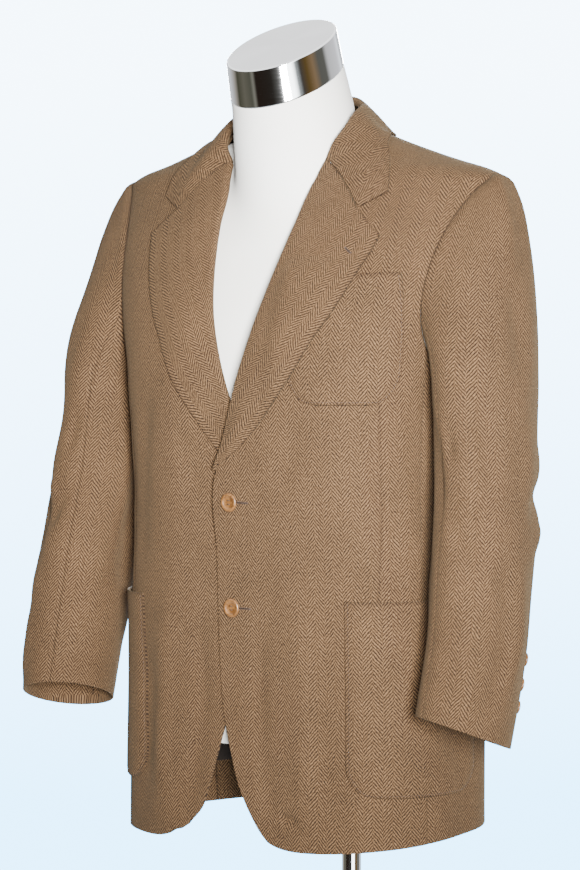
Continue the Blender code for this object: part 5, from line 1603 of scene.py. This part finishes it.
# Heading as a share of a turn: 0 and 1 behind the object, 0.5 in front of it.
forward = sums(tree, "MULTIPLY", backward, -1.0)
bearing = ranged(tree, sums(tree, "ARCTAN2", sideways, forward), low=-math.pi, high=math.pi)
mirrored = node(tree, "ValToRGB", {0: bearing})
MIRRORED = (  # heading in degrees from the front towards the wearer's left, and the light from there
    (-180, (1.10, 1.15, 1.20)), (-112, (1.10, 1.15, 1.20)), (-88, (0.50, 0.46, 0.40)),
    (-76, (0.09, 0.09, 0.06)), (-56, (0.18, 0.17, 0.13)), (-36, (0.12, 0.12, 0.09)),
    (-29, (0.30, 0.29, 0.24)), (-22, (0.03, 0.02, 0.015)), (14, (0.03, 0.025, 0.02)),
    (34, (0.12, 0.12, 0.11)), (44, (0.30, 0.31, 0.31)), (49, (9.0, 9.5, 9.5)), (57, (9.0, 9.5, 9.5)),
    (66, (0.60, 0.65, 0.65)), (74, (0.08, 0.07, 0.06)), (86, (0.16, 0.10, 0.03)),
    (100, (0.33, 0.22, 0.12)), (112, (0.15, 0.15, 0.13)), (126, (0.16, 0.16, 0.14)),
    (136, (0.95, 0.95, 0.95)), (164, (1.20, 1.20, 1.25)), (180, (2.0, 2.1, 2.2)),
)
ramp = mirrored.color_ramp
while len(ramp.elements) < len(MIRRORED):
    ramp.elements.new(0.5)
for element, (degrees, _) in zip(ramp.elements, MIRRORED):
    element.position = degrees / 360 + 0.5
for element, (_, light_there) in zip(ramp.elements, MIRRORED):
    element.color = light_there + (1.0,)
gleam = mixed(tree, ranged(tree, upward, low=0.30, high=0.60), mirrored, (2.8, 2.8, 2.8, 1))
lit = mixed(tree, ray["Is Glossy Ray"], ambient, gleam)
feed(room, Color=mixed(tree, ray["Is Camera Ray"], lit, wall))

AIM = np.array([-0.0157, -0.0934, 1.123])
CAMERA_PLACE = np.array([2.057, -2.914, 1.30])
LENS = 134.7  # millimetres, on a 36 mm sensor
Lamp = namedtuple("Lamp", "place target size spread watts")  # spread in degrees: less is a tighter beam

FLASH = Lamp((2.12, -2.48, 1.36), (0.03, -0.15, 1.21), 0.66, 38, 29)
BACK_LAMP = Lamp((-1.65, 2.3, 1.6), AIM, 1.2, 120, 140)


def aimed(thing, place, target):
    """Puts a camera or a light at a place, turned to look at a target."""
    thing.location = place
    ahead = unit(np.asarray(target, float) - np.asarray(place, float))
    thing.rotation_euler = (math.pi / 2 + math.asin(ahead[2]), 0, math.atan2(-ahead[0], ahead[1]))
    bpy.context.collection.objects.link(thing)


def softbox(name, lamp):
    """A square lamp that lights the object and is not seen itself."""
    light = bpy.data.lights.new(name, "AREA")
    light.shape = "SQUARE"
    light.size = lamp.size
    light.spread = math.radians(lamp.spread)
    light.energy = lamp.watts
    made = bpy.data.objects.new(name, light)
    made.visible_camera = False
    aimed(made, lamp.place, lamp.target)


softbox("flash_box", FLASH)
softbox("back_box", BACK_LAMP)

camera = bpy.data.cameras.new("photo_view")
camera.lens = LENS
camera.sensor_width = 36
camera_object = bpy.data.objects.new("photo_view", camera)
aimed(camera_object, CAMERA_PLACE, AIM)
bpy.context.scene.camera = camera_object
